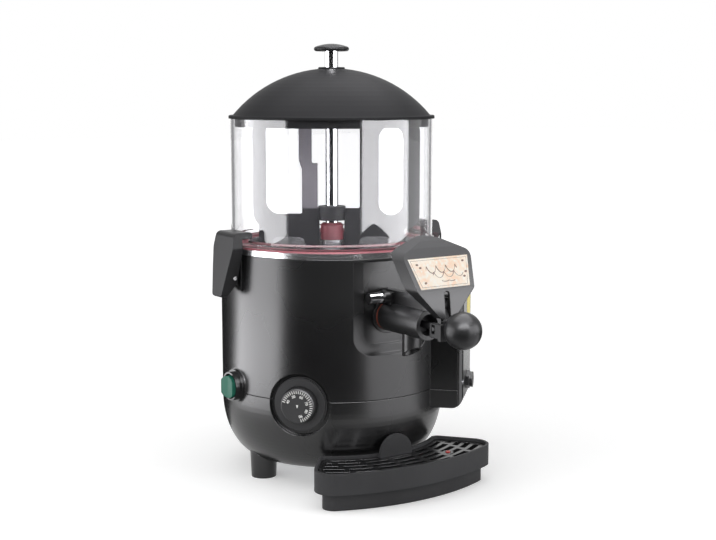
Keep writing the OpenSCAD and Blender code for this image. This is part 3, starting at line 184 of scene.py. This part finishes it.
def bright_metal(name, colour, rough, streaks):
    """Polished or brushed metal, with fine streaks in its roughness."""
    material, tree, shader, _ = new_material(name)
    lines = noise(tree, object_place(tree, streaks), 1.0, 3)
    shader.inputs["Base Color"].default_value = (*colour, 1)
    shader.inputs["Metallic"].default_value = 1.0
    tree.links.new(stretch(tree, lines, *rough), shader.inputs["Roughness"])
    return material


def rubber(name, dark, light, rough):
    """Soft rubber with a cloudy tone and a fine grain."""
    material, tree, shader, _ = new_material(name)
    place = object_place(tree)
    cloud = noise(tree, place, 60, 3)
    tone = two_colours(tree, stretch(tree, cloud, 0, 1), dark, light)
    tree.links.new(tone, shader.inputs["Base Color"])
    tree.links.new(stretch(tree, cloud, *rough), shader.inputs["Roughness"])
    bumped(tree, shader, noise(tree, place, 900), grain_depth, 0.5)
    return material


def clear_plastic(name, tint, rough, ior):
    """Clear moulded plastic that lets the lamps' light through to what it covers."""
    material, tree, shader, output = new_material(name)
    shader.inputs["Base Color"].default_value = (*tint, 1)
    shader.inputs["Transmission Weight"].default_value = 1.0
    shader.inputs["IOR"].default_value = ior
    cloud = noise(tree, object_place(tree), 20)
    tree.links.new(stretch(tree, cloud, *rough), shader.inputs["Roughness"])
    path = tree.nodes.new("ShaderNodeLightPath")
    open_way = tree.nodes.new("ShaderNodeBsdfTransparent")
    open_way.inputs["Color"].default_value = (*tint, 1)
    mix = tree.nodes.new("ShaderNodeMixShader")
    tree.links.new(path.outputs["Is Shadow Ray"], mix.inputs["Fac"])
    tree.links.new(shader.outputs["BSDF"], mix.inputs[1])
    tree.links.new(open_way.outputs["BSDF"], mix.inputs[2])
    tree.links.new(mix.outputs["Shader"], output.inputs["Surface"])
    return material


def paddle_plastic(name):
    """Black plastic whose stepped scraper bar is moulded in a lighter grey."""
    paddle_turn = math.radians(33)  # brings the paddle's blade in line with X
    bar_outer, bar_inner = -0.037, -0.0155  # the bar's sides along the blade
    bar_foot = 0.287  # its lower end's height
    material, tree, shader, _ = new_material(name)
    along = sides_of(tree, object_place(tree, turn=paddle_turn))
    inside = step_at(tree, along["X"], bar_inner, 1, 0)
    outside = step_at(tree, along["X"], bar_outer, 0, 1)
    above = step_at(tree, along["Z"], bar_foot, 0, 1)
    mask = times(tree, times(tree, inside, outside), above)
    tone = two_colours(tree, mask, (0.018, 0.018, 0.020), (0.15, 0.143, 0.158))
    tree.links.new(tone, shader.inputs["Base Color"])
    place = object_place(tree)
    tree.links.new(stretch(tree, noise(tree, place, slow_cells, 3), 0.4, 0.5), shader.inputs["Roughness"])
    shader.inputs["Specular IOR Level"].default_value = 0.2
    bumped(tree, shader, noise(tree, place, fine_grain), grain_depth, grain_strength)
    return material


def shield_plastic(name):
    """Satin black plastic that grows duller towards the top of the tap's shield."""
    dull_from, dull_to = 0.215, 0.255  # heights
    material, tree, shader, _ = new_material(name)
    place = object_place(tree)
    slow = stretch(tree, noise(tree, place, slow_cells, 3), 0, 1)
    tone = two_colours(tree, slow, (0.009, 0.009, 0.0095), (0.013, 0.013, 0.014))
    tree.links.new(tone, shader.inputs["Base Color"])
    shader.inputs["Specular IOR Level"].default_value = 0.4
    duller = stretch(tree, sides_of(tree, place)["Z"], 0.3, 0.9, dull_from, dull_to)
    tree.links.new(duller, shader.inputs["Roughness"])
    grain = noise(tree, place, fine_grain)
    bumped(tree, shader, grain, grain_depth, grain_strength, eased_edges(tree, 0.0011))
    return material


def label_film(name):
    """Cream label film with peach clouds and paler flecks."""
    material, tree, shader, _ = new_material(name)
    place = object_place(tree)
    clouds = stretch(tree, noise(tree, place, 55, 3), 0, 1, 0.42, 0.62)
    flecks = stretch(tree, noise(tree, place, 260), 0, 1, 0.45, 0.7)
    base = two_colours(tree, clouds, (0.94, 0.85, 0.73), (0.92, 0.69, 0.52))
    over = tree.nodes.new("ShaderNodeMix")
    over.data_type = "RGBA"
    tree.links.new(flecks, over.inputs["Factor"])
    tree.links.new(base, over.inputs["A"])
    over.inputs["B"].default_value = (0.95, 0.91, 0.83, 1)
    tree.links.new(over.outputs["Result"], shader.inputs["Base Color"])
    shader.inputs["Roughness"].default_value = 0.4
    shader.inputs["Specular IOR Level"].default_value = 0.12
    return material


def print_ink(name, dark, light):
    """Printed ink with a slightly uneven tone."""
    material, tree, shader, _ = new_material(name)
    cloud = noise(tree, object_place(tree), 300)
    tree.links.new(two_colours(tree, cloud, dark, light), shader.inputs["Base Color"])
    shader.inputs["Roughness"].default_value = 0.45
    return material


# ---- finishes of the machine ------------------------------------------------

housing_black = moulded_plastic(
    "housing_black", (0.0018, 0.0018, 0.0021), (0.0030, 0.0030, 0.0034), (0.25, 0.29),
    shine=0.6, ease=0.0009)
lid_black = moulded_plastic(
    "lid_black", (0.0075, 0.0075, 0.0082), (0.0105, 0.0105, 0.0113), (0.46, 0.54),
    shine=0.045, ease=0.0008)
part_black = moulded_plastic(
    "part_black", (0.008, 0.008, 0.0085), (0.012, 0.012, 0.013), (0.3, 0.36),
    shine=0.45, ease=0.0011)
latch_black = moulded_plastic(
    "latch_black", (0.017, 0.017, 0.018), (0.022, 0.022, 0.023), (0.28, 0.33),
    shine=0.1, ease=0.0011)
knob_black = moulded_plastic(
    "knob_black", (0.012, 0.012, 0.0125), (0.015, 0.015, 0.016), (0.3, 0.34), shine=0.2)
# Painted shade: the piston is made black to stand for the shade inside the tap tube's open end.
piston_painted_shade = moulded_plastic(
    "piston_painted_shade", (0.008, 0.008, 0.0085), (0.012, 0.012, 0.013), (0.35, 0.45), shine=0.3)
grille_black = moulded_plastic(
    "grille_black", (0.012, 0.012, 0.0125), (0.018, 0.018, 0.019), (0.16, 0.22),
    grain=700, ease=0.0006)
tray_black = moulded_plastic(
    "tray_black", (0.05, 0.05, 0.052), (0.064, 0.064, 0.067), (0.38, 0.46),
    shine=0.03, ease=0.0009)
dial_black = moulded_plastic(
    "dial_black", (0.010, 0.010, 0.011), (0.014, 0.014, 0.015), (0.42, 0.5),
    grain=900, shine=0.4)
bezel_black = moulded_plastic(
    "bezel_black", (0.008, 0.008, 0.0085), (0.012, 0.012, 0.0125), (0.16, 0.24),
    grain=300, depth=polished_depth)
rocker_green = moulded_plastic(
    "rocker_green", (0.010, 0.105, 0.068), (0.016, 0.145, 0.095), (0.2, 0.26),
    grain=300, depth=polished_depth, shine=0.1, ease=0.0014)
float_red = moulded_plastic(
    "float_red", (0.5, 0.02, 0.015), (0.6, 0.035, 0.025), (0.22, 0.3), grain=300)
acetal = moulded_plastic("acetal", (0.66, 0.63, 0.54), (0.74, 0.71, 0.62), (0.38, 0.48))
phenolic = moulded_plastic("phenolic", (0.5, 0.47, 0.4), (0.58, 0.55, 0.47), (0.45, 0.55))
board_green = moulded_plastic("board_green", (0.03, 0.16, 0.06), (0.05, 0.22, 0.09), (0.3, 0.4))
motor_grey = moulded_plastic(
    "motor_grey", (0.16, 0.165, 0.175), (0.2, 0.205, 0.215), (0.35, 0.45))
stainless = bright_metal("stainless", (0.78, 0.78, 0.79), (0.16, 0.26), (40, 40, 1200))
chrome = bright_metal("chrome", (0.86, 0.86, 0.87), (0.05, 0.09), (30, 30, 30))
column_chrome = bright_metal("column_chrome", (0.62, 0.62, 0.635), (0.08, 0.14), (30, 30, 900))
zinc = bright_metal("zinc", (0.62, 0.63, 0.65), (0.28, 0.42), (90, 90, 90))
heater_steel = bright_metal("heater_steel", (0.38, 0.38, 0.39), (0.4, 0.5), (90, 90, 90))
silicone_red = rubber("silicone_red", (0.11, 0.012, 0.02), (0.15, 0.018, 0.028), (0.44, 0.56))
seal_brown = rubber("seal_brown", (0.16, 0.035, 0.02), (0.22, 0.05, 0.03), (0.39, 0.51))
container_clear = clear_plastic("container_clear", (0.982, 0.982, 0.99), (0.0, 0.02), 1.45)
paddle_black = paddle_plastic("paddle_black")
shield_black = shield_plastic("shield_black")
label_cream = label_film("label_cream")

finishes = {
    housing_black: ["upper_housing", "lower_housing", "control_box_cover",
                    "foot_front", "foot_right", "foot_rear", "foot_left",
                    "latch_bracket_left", "latch_bracket_right"],
    zinc: ["base_plate", "motor_bracket", "base_screws", "cover_screws", "shield_screws",
           "lid_knob_nut", "paddle_nut", "thermostat_spindle", "shaft_coupling"],
    part_black: ["tap_socket", "tap_body", "cable_gland"],
    latch_black: ["latch_left", "latch_right", "tap_lever", "lid_knob_cap"],
    knob_black: ["lever_knob"],
    shield_black: ["tap_shield"],
    # the piston's black is painted shade for the inside of the tap's open end
    piston_painted_shade: ["tap_piston"],
    board_green: ["control_board"],
    stainless: ["chocolate_bowl", "water_tank"],
    heater_steel: ["heating_element"],
    silicone_red: ["bowl_gasket", "column_seal", "valve_plug",
                   "latch_pad_left", "latch_pad_right"],
    seal_brown: ["tap_seal"],
    column_chrome: ["column_tube", "drive_shaft"],
    chrome: ["lid_knob_stem", "tap_pin", "latch_pin_left", "latch_pin_right", "lever_pin"],
    acetal: ["shaft_bushes"],
    motor_grey: ["gearmotor"],
    paddle_black: ["stirring_paddle"],
    container_clear: ["container"],
    lid_black: ["lid"],
    dial_black: ["thermostat_dial", "thermostat_bezel"],
    bezel_black: ["switch_bezel"],
    phenolic: ["thermostat_body", "switch_body"],
    rocker_green: ["switch_rocker"],
    label_cream: ["label_plate"],
    tray_black: ["drip_tray"],
    grille_black: ["drip_grille"],
    float_red: ["float_indicator"],
}
for material, names in finishes.items():
    for name in names:
        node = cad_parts[name]
        node.data.materials.clear()
        node.data.materials.append(material)

# ---- helpers for new pieces -------------------------------------------------

bar_ease = 0.0001  # of a small bar's edges


def clear_choice():
    """Leaves edit mode and deselects everything."""
    if bpy.context.object and bpy.context.object.mode != "OBJECT":
        bpy.ops.object.mode_set(mode="OBJECT")
    bpy.ops.object.select_all(action="DESELECT")


def settle(made, place):
    """Applies a place to a piece's mesh and leaves its object at the origin."""
    made.data.transform(place @ made.matrix_basis)
    made.matrix_basis = Matrix.Identity(4)
    made.data.update()


def joined(pieces, name):
    """Joins pieces into the first of them, under a name."""
    clear_choice()
    for piece in pieces:
        piece.select_set(True)
    bpy.context.view_layer.objects.active = pieces[0]
    bpy.ops.object.join()
    made = bpy.context.view_layer.objects.active
    made.name = name
    made.data.name = name
    made.select_set(False)
    return made


def dress(made, material, body):
    """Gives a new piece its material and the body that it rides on."""
    made.data.materials.clear()
    made.data.materials.append(material)
    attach(made, body)


def copied(made, name):
    """A copy of a piece with its own mesh."""
    other = made.copy()
    other.data = made.data.copy()
    other.name = name
    bpy.context.scene.collection.objects.link(other)
    return other


def eased_bar(name, width, length, thick):
    """A short flat bar with eased edges, centred on the origin, thick along Z."""
    clear_choice()
    bpy.ops.mesh.primitive_cube_add(size=1)
    made = bpy.context.object
    made.name = name
    made.scale = (width, length, thick)
    bpy.ops.object.transform_apply(location=False, rotation=False, scale=True)
    bpy.ops.object.mode_set(mode="EDIT")
    bpy.ops.mesh.select_all(action="SELECT")
    bpy.ops.mesh.bevel(offset=bar_ease, segments=2)
    bpy.ops.object.mode_set(mode="OBJECT")
    made.select_set(False)
    return made


def plane_of(origin, right, up):
    """The matrix of a flat place, with X to its right, Y up it and Z out of it."""
    right = Vector(right).normalized()
    up = Vector(up).normalized()
    out = right.cross(up)
    return Matrix(((right.x, up.x, out.x, origin[0]),
                   (right.y, up.y, out.y, origin[1]),
                   (right.z, up.z, out.z, origin[2]),
                   (0, 0, 0, 1)))


# ---- marks on the thermostat's dial -----------------------------------------

white_print = print_ink("white_print", (0.72, 0.72, 0.7), (0.8, 0.8, 0.78))

dial_turn = math.radians(-49.5)
dial_reach = 0.127  # from the machine's axis to the dial's face
dial_height = 0.094
dial_face = plane_of((dial_reach * math.sin(dial_turn), -dial_reach * math.cos(dial_turn),
                      dial_height),
                     (math.cos(dial_turn), math.sin(dial_turn), 0), (0, 0, 1))

mark_thick = 0.0003
mark_lift = 0.00005
tick_width, tick_length = 0.00078, 0.0032
pointer_width, pointer_length = 0.0022, 0.0032
tick_ring = 0.0150
tick_first, tick_sweep, tick_gaps = -74, 238, 27  # degrees, degrees, spaces between ticks
figure_ring = 0.0106
figure_first, figure_step = -66, 45.2  # degrees
figure_height = 0.0040
figure_thick = 0.00024
figure_lift = 0.00008
figure_bolder = 0.02  # how far the outline grows, as a share of the height


def on_dial(made, degrees, ring, lift):
    """Puts a mark on the dial's face, at an angle clockwise from its top."""
    turn = Matrix.Rotation(-math.radians(degrees), 4, "Z")
    settle(made, dial_face @ turn @ Matrix.Translation((0, ring, lift)))


def raised_figures(words, height, thick):
    """Plain figures as a mesh, centred on the origin and raised along Z."""
    clear_choice()
    bpy.ops.object.text_add()
    made = bpy.context.object
    made.data.body = words
    made.data.size = height
    made.data.align_x = "CENTER"
    made.data.align_y = "CENTER"
    made.data.extrude = thick / 2
    made.data.offset = height * figure_bolder
    bpy.ops.object.convert(target="MESH")
    made = bpy.context.object
    made.select_set(False)
    return made


def dial_ticks():
    """Short ticks round the dial, copied from one bar."""
    tick = eased_bar("tick", tick_width, tick_length, mark_thick)
    ticks = []
    for step in range(tick_gaps + 1):
        one = copied(tick, "tick_copy")
        on_dial(one, tick_first + step * tick_sweep / tick_gaps, tick_ring, mark_lift)
        ticks.append(one)
    bpy.data.objects.remove(tick)
    return joined(ticks, "dial_ticks")


def dial_figures():
    """The tens from 40 to 90 inside the ticks."""
    figures = []
    for step, value in enumerate(range(40, 100, 10)):
        one = raised_figures(str(value), figure_height, figure_thick)
        on_dial(one, figure_first + step * figure_step, figure_ring, figure_lift)
        figures.append(one)
    return joined(figures, "dial_figures")


def dial_pointer():
    """A small wedge in the middle of the dial, narrow at its lower end."""
    low_end = -0.0012
    pointer = eased_bar("dial_pointer", pointer_width, pointer_length, mark_thick)
    bpy.context.view_layer.objects.active = pointer
    bpy.ops.object.mode_set(mode="EDIT")
    mesh = bmesh.from_edit_mesh(pointer.data)
    for vertex in mesh.verts:
        vertex.select = vertex.co.y < low_end
    mesh.select_flush_mode()
    bmesh.update_edit_mesh(pointer.data)
    bpy.ops.transform.resize(value=(0.25, 1, 1), center_override=(0, 0, 0))
    bpy.ops.object.mode_set(mode="OBJECT")
    on_dial(pointer, 0, 0, mark_lift)
    return pointer


for marks in (dial_ticks(), dial_figures(), dial_pointer()):
    dress(marks, white_print, "dial_body")

# ---- the label's print ------------------------------------------------------

label_brown = moulded_plastic(
    "label_brown", (0.09, 0.035, 0.015), (0.13, 0.05, 0.022), (0.3, 0.36),
    grain=400, depth=polished_depth)
label_centre = (0, -0.19726, 0.23865)
label_up = (0, 0.4305, 0.9026)  # the label leans back
label_face = plane_of(label_centre, (1, 0, 0), label_up)

border_corners = [(-0.0277, -0.0137), (0.0277, -0.0137), (0.0343, 0.0137), (-0.0343, 0.0137)]
border_width = 0.0005
# start, end, height, swing, turns, line width
waves = [(-0.020, 0.021, 0.0035, 0.0036, 3.5, 0.0011),
         (-0.013, 0.024, -0.0022, 0.0030, 3.0, 0.0009),
         (-0.004, 0.012, -0.0088, 0.0006, 2.0, 0.0008)]
wave_lean = 0.0016
wave_steps = 72
wave_thin = 0.35  # the line's least width, as a share of its most
line_flatness = 0.00012 / 0.0006  # the height of a printed line over its width
bean_places = [(-0.0275, 0.0095), (-0.0245, 0.0062), (0.0292, -0.0012),
               (0.0262, -0.0058), (-0.0225, -0.0095), (0.0288, 0.0102)]
bean_radius = 0.0011
bean_twist = 60  # radians for each metre across


def printed_line(name, points, widths, closed=False):
    """A flat printed line through points (x, y), with a width at each."""
    data = bpy.data.curves.new(name, "CURVE")
    data.dimensions = "3D"
    data.bevel_depth = 1.0
    data.bevel_resolution = 2
    data.use_fill_caps = True
    spline = data.splines.new("POLY")
    spline.points.add(len(points) - 1)
    for point, place, width in zip(spline.points, points, widths):
        point.co = (place[0], place[1], 0, 1)
        point.radius = width / 2
    spline.use_cyclic_u = closed
    clear_choice()
    made = bpy.data.objects.new(name, data)
    bpy.context.scene.collection.objects.link(made)
    made.select_set(True)
    bpy.context.view_layer.objects.active = made
    bpy.ops.object.convert(target="MESH")
    made = bpy.context.object
    made.select_set(False)
    settle(made, Matrix.Diagonal((1, 1, line_flatness, 1)))
    return made


def label_wave(row, start, end, height, swing, turns, width):
    """A leaning wave whose line swells and thins, as a brush leaves it."""
    line = []
    widths = []
    for step in range(wave_steps + 1):
        along = step / wave_steps
        phase = 2 * math.pi * turns * along
        line.append((start + (end - start) * along + wave_lean * math.cos(phase),
                     height + swing * math.sin(phase)))
        swell = abs(math.sin(math.pi * turns * along + row))
        widths.append(width * (wave_thin + (1 - wave_thin) * swell))
    return printed_line("label_wave", line, widths)


def rank_on_ball(place):
    """A number that grows round each ring of a ball, and from ring to ring."""
    ring = round(place.z / bean_radius * 100)
    return ring * 10 + (math.atan2(place.y, place.x) + 0.1) % (2 * math.pi)


def flat_bean():
    """A small flat oval, centred on the origin.

    Blender's sphere gives its corners and faces in an order that changes from
    run to run, so they are sorted by place.
    """
    clear_choice()
    bpy.ops.mesh.primitive_uv_sphere_add(segments=20, ring_count=10, radius=bean_radius)
    bean = bpy.context.object
    bpy.ops.object.mode_set(mode="EDIT")
    mesh = bmesh.from_edit_mesh(bean.data)
    mesh.verts.sort(key=lambda corner: rank_on_ball(corner.co))
    mesh.edges.sort(key=lambda edge: rank_on_ball((edge.verts[0].co + edge.verts[1].co) / 2))
    mesh.faces.sort(key=lambda face: rank_on_ball(face.calc_center_median()))
    bmesh.update_edit_mesh(bean.data)
    bpy.ops.mesh.select_all(action="SELECT")
    bpy.ops.transform.resize(value=(1.0, 1.5, 0.08))
    bpy.ops.object.mode_set(mode="OBJECT")
    bean.select_set(False)
    return bean


strokes = [printed_line("label_border", border_corners, [border_width] * 4, closed=True)]
for row, wave in enumerate(waves):
    strokes.append(label_wave(row, *wave))
bean = flat_bean()
for across, up in bean_places:
    one = copied(bean, "bean_copy")
    turn = Matrix.Rotation(across * bean_twist, 4, "Z")
    settle(one, Matrix.Translation((across, up, 0)) @ turn)
    strokes.append(one)
bpy.data.objects.remove(bean)
label_motif = joined(strokes, "label_motif")
settle(label_motif, label_face)
dress(label_motif, label_brown, "housing_body")

# ---- the control box's screws and sticker -----------------------------------

box_turn = math.radians(45)
screw_face = 0.1498  # from the machine's axis
screw_sides = (-0.0325, 0.0325)
screw_heights = (0.106, 0.2)
cross_turn = 0.3  # radians
cross_width, cross_length, cross_thick = 0.0007, 0.0034, 0.0003
sticker_side, sticker_height = 0.012, 0.186
sticker_face = 0.15008
sticker_width, sticker_thick = 0.030, 0.00024

# Painted shade: a dark finish for the shade inside the cover screws' cross recesses.
painted_recess_shade = moulded_plastic("painted_recess_shade", (0.02, 0.02, 0.02), (0.03, 0.03, 0.03), (0.5, 0.6))
sticker_yellow = moulded_plastic(
    "sticker_yellow", (0.75, 0.6, 0.01), (0.8, 0.66, 0.03), (0.35, 0.42),
    grain=500, depth=polished_depth)


def box_place(side, height, out):
    """A flat place on the control box's outer face, side metres to its right."""
    normal = Vector((math.sin(box_turn), -math.cos(box_turn), 0))
    right = Vector((math.cos(box_turn), math.sin(box_turn), 0))
    spot = normal * out + right * side
    return plane_of((spot.x, spot.y, height), right, (0, 0, 1))


# Dark crosses on the zinc screw heads: painted shade for their cross recesses.
cross_bar = eased_bar("cross_bar", cross_width, cross_length, cross_thick)
crosses = []
for side in screw_sides:
    for height in screw_heights:
        for turn in (cross_turn, cross_turn + math.pi / 2):
            one = copied(cross_bar, "cross_copy")
            settle(one, box_place(side, height, screw_face) @ Matrix.Rotation(turn, 4, "Z"))
            crosses.append(one)
bpy.data.objects.remove(cross_bar)
dress(joined(crosses, "cover_screw_crosses"), painted_recess_shade, "housing_body")

sticker = eased_bar("box_sticker", sticker_width, sticker_width, sticker_thick)
settle(sticker, box_place(sticker_side, sticker_height, sticker_face))
dress(sticker, sticker_yellow, "housing_body")

# ---- background and floor ---------------------------------------------------


def sees_white(tree):
    """1 for the rays that look at the background: sight, gloss and clear plastic."""
    path = tree.nodes.new("ShaderNodeLightPath")
    total = path.outputs["Is Camera Ray"]
    for kind in ("Is Glossy Ray", "Is Transmission Ray"):
        add = tree.nodes.new("ShaderNodeMath")
        add.operation = "MAXIMUM"
        tree.links.new(total, add.inputs[0])
        tree.links.new(path.outputs[kind], add.inputs[1])
        total = add.outputs["Value"]
    return total


def through_clear_gain(tree, gain):
    """A gain for what is seen through the container, whose walls dim it a little."""
    path = tree.nodes.new("ShaderNodeLightPath")
    return stretch(tree, path.outputs["Is Transmission Ray"], 1.0, gain, 0, 1)


def studio_world():
    """A white background that lights the machine only softly."""
    world = bpy.data.worlds.new("studio")
    bpy.context.scene.world = world
    world.use_nodes = True
    tree = world.node_tree
    tree.nodes.clear()
    output = tree.nodes.new("ShaderNodeOutputWorld")
    dim = tree.nodes.new("ShaderNodeBackground")
    dim.inputs["Color"].default_value = (1, 1, 1, 1)
    dim.inputs["Strength"].default_value = 0.4
    white = tree.nodes.new("ShaderNodeBackground")
    white.inputs["Color"].default_value = (1, 1, 1, 1)
    tree.links.new(through_clear_gain(tree, 1.08), white.inputs["Strength"])
    mix = tree.nodes.new("ShaderNodeMixShader")
    tree.links.new(sees_white(tree), mix.inputs["Fac"])
    tree.links.new(dim.outputs["Background"], mix.inputs[1])
    tree.links.new(white.outputs["Background"], mix.inputs[2])
    tree.links.new(mix.outputs["Shader"], output.inputs["Surface"])


def floor_finish(name):
    """Pale matt floor that brightens to white away from the machine."""
    near, far = 0.45, 2.2  # from the machine's axis
    material, tree, shader, output = new_material(name)
    shader.inputs["Base Color"].default_value = (0.9, 0.9, 0.9, 1)
    shader.inputs["Roughness"].default_value = 0.6
    shader.inputs["Specular IOR Level"].default_value = 0.0
    coordinate = tree.nodes.new("ShaderNodeTexCoord")
    reach = tree.nodes.new("ShaderNodeVectorMath")
    reach.operation = "LENGTH"
    tree.links.new(coordinate.outputs["Object"], reach.inputs[0])
    rise = stretch(tree, reach.outputs["Value"], 0.3, 0.72, near, far)
    lift = tree.nodes.new("ShaderNodeEmission")
    lift.inputs["Color"].default_value = (1, 1, 1, 1)
    raised = times(tree, rise, through_clear_gain(tree, 1.12))
    tree.links.new(times(tree, raised, sees_white(tree)), lift.inputs["Strength"])
    both = tree.nodes.new("ShaderNodeAddShader")
    tree.links.new(shader.outputs["BSDF"], both.inputs[0])
    tree.links.new(lift.outputs["Emission"], both.inputs[1])
    tree.links.new(both.outputs["Shader"], output.inputs["Surface"])
    return material


def plain_sheet(name, corners, material):
    """A flat sheet of the studio, which isn't part of the machine."""
    mesh = bpy.data.meshes.new(name)
    mesh.from_pydata(corners, [], [tuple(range(len(corners)))])
    made = bpy.data.objects.new(name, mesh)
    bpy.context.scene.collection.objects.link(made)
    mesh.materials.append(material)
    return made


studio_world()
floor_half = 9
plain_sheet("floor", [(-floor_half, -floor_half, 0), (floor_half, -floor_half, 0),
                      (floor_half, floor_half, 0), (-floor_half, floor_half, 0)],
            floor_finish("floor"))

# ---- cards round the machine ------------------------------------------------
# They shape its highlights and give no light or shade. Those that the clear
# container also shows give its walls their outlines.

card_lift = 0.001  # of the lying cards above the floor


def from_front(degrees, distance, height):
    """A point at an angle and a distance round the machine's axis."""
    turn = math.radians(degrees)
    return Vector((math.sin(turn) * distance, -math.cos(turn) * distance, height))


def only_in_gloss(made, through_clear=False):
    """Hides a card from all but gloss and, if asked, the view through clear plastic."""
    made.visible_camera = False
    made.visible_diffuse = False
    made.visible_transmission = through_clear
    made.visible_shadow = False
    made.visible_volume_scatter = False


def upright_card(name, angles, distance, heights, material, through_clear=False):
    """A card that stands upright between two angles and two heights."""
    first, last = angles
    low, high = heights
    corners = [from_front(first, distance, low), from_front(last, distance, low),
               from_front(last, distance, high), from_front(first, distance, high)]
    only_in_gloss(plain_sheet(name, corners, material), through_clear)


def lying_card(name, angles, distances, material):
    """A card that lies on the floor between two angles and two distances."""
    first, last = angles
    near, far = distances
    corners = [from_front(first, near, card_lift), from_front(last, near, card_lift),
               from_front(last, far, card_lift), from_front(first, far, card_lift)]
    only_in_gloss(plain_sheet(name, corners, material))


def top_sheet(name, left, right, front, back, height, material):
    """A card that hangs level over the machine."""
    corners = [(left, front, height), (right, front, height),
               (right, back, height), (left, back, height)]
    only_in_gloss(plain_sheet(name, corners, material))


def black_finish(name):
    """A card's dull black, which reflects next to nothing."""
    material, _, shader, _ = new_material(name)
    shader.inputs["Base Color"].default_value = (0.01, 0.01, 0.01, 1)
    shader.inputs["Roughness"].default_value = 1.0
    shader.inputs["Specular IOR Level"].default_value = 0.0
    return material


def glow(name, radiance):
    """A card's even glow, where a radiance of 1 is white."""
    material, tree, shader, output = new_material(name)
    tree.nodes.remove(shader)
    even = tree.nodes.new("ShaderNodeEmission")
    even.inputs["Color"].default_value = (0.98, 0.975, 1.0, 1)
    even.inputs["Strength"].default_value = radiance
    tree.links.new(even.outputs["Emission"], output.inputs["Surface"])
    return material


dark = black_finish("dark_card")
upright_card("dark_upright", (-82, -2), 1.9, (0.0, 2.2), dark, through_clear=True)
lying_card("dark_lying", (-82, -2), (0.45, 1.9), dark)
upright_card("edge_upright", (-216, -148), 2.4, (0.0, 0.06), dark)
lying_card("edge_lying", (-216, -148), (0.2, 2.4), dark)

grey = glow("grey_card", 0.32)
upright_card("edge_left", (-192, -154), 2.4, (0.0, 0.9), grey, through_clear=True)
upright_card("edge_right", (86, 122), 2.4, (0.0, 0.9), grey, through_clear=True)

upright_card("left_upright", (-144, -84), 1.6, (0.1, 0.62), glow("left_glow", 7.5),
             through_clear=True)
lying_card("left_lying", (-141, -84), (0.5, 1.6), glow("left_floor_glow", 7.4))
lying_card("right_lying", (0, 52), (0.34, 1.6), glow("right_floor_glow", 1.9))
upright_card("right_upright", (0, 60), 1.6, (0.1, 0.9), glow("right_glow", 8.5),
             through_clear=True)
lying_card("dark_right_lying", (56, 104), (0.3, 1.9), dark)
upright_card("front_high", (-62, 6), 1.5, (0.7, 1.65), glow("front_glow", 24.0))
top_sheet("top_card", -0.9, 1.2, -1.5, 0.9, 1.7, glow("top_glow", 8.0))

# ---- lamps ------------------------------------------------------------------


def soft_lamp(name, degrees, distance, height, size, radiance, aim_height):
    """A broad lamp for the matt shading alone; its gloss comes from the cards."""
    width, tall = size
    data = bpy.data.lights.new(name, "AREA")
    data.shape = "RECTANGLE"
    data.size = width
    data.size_y = tall
    data.energy = radiance * math.pi * width * tall
    made = bpy.data.objects.new(name, data)
    bpy.context.scene.collection.objects.link(made)
    made.location = from_front(degrees, distance, height)
    to_aim = Vector((0, 0, aim_height)) - made.location
    made.rotation_euler = to_aim.to_track_quat("-Z", "Y").to_euler()
    made.visible_glossy = False
    made.visible_transmission = False


soft_lamp("left_lamp", -112, 1.5, 0.8, (1.7, 1.5), 1.5, 0.25)
soft_lamp("right_lamp", 36, 1.6, 0.9, (1.6, 1.3), 1.15, 0.25)
soft_lamp("front_lamp", -48, 1.9, 0.7, (1.5, 1.2), 1.2, 0.2)
soft_lamp("top_lamp", -33, 0.1, 2.0, (1.6, 1.6), 1.3, 0.3)
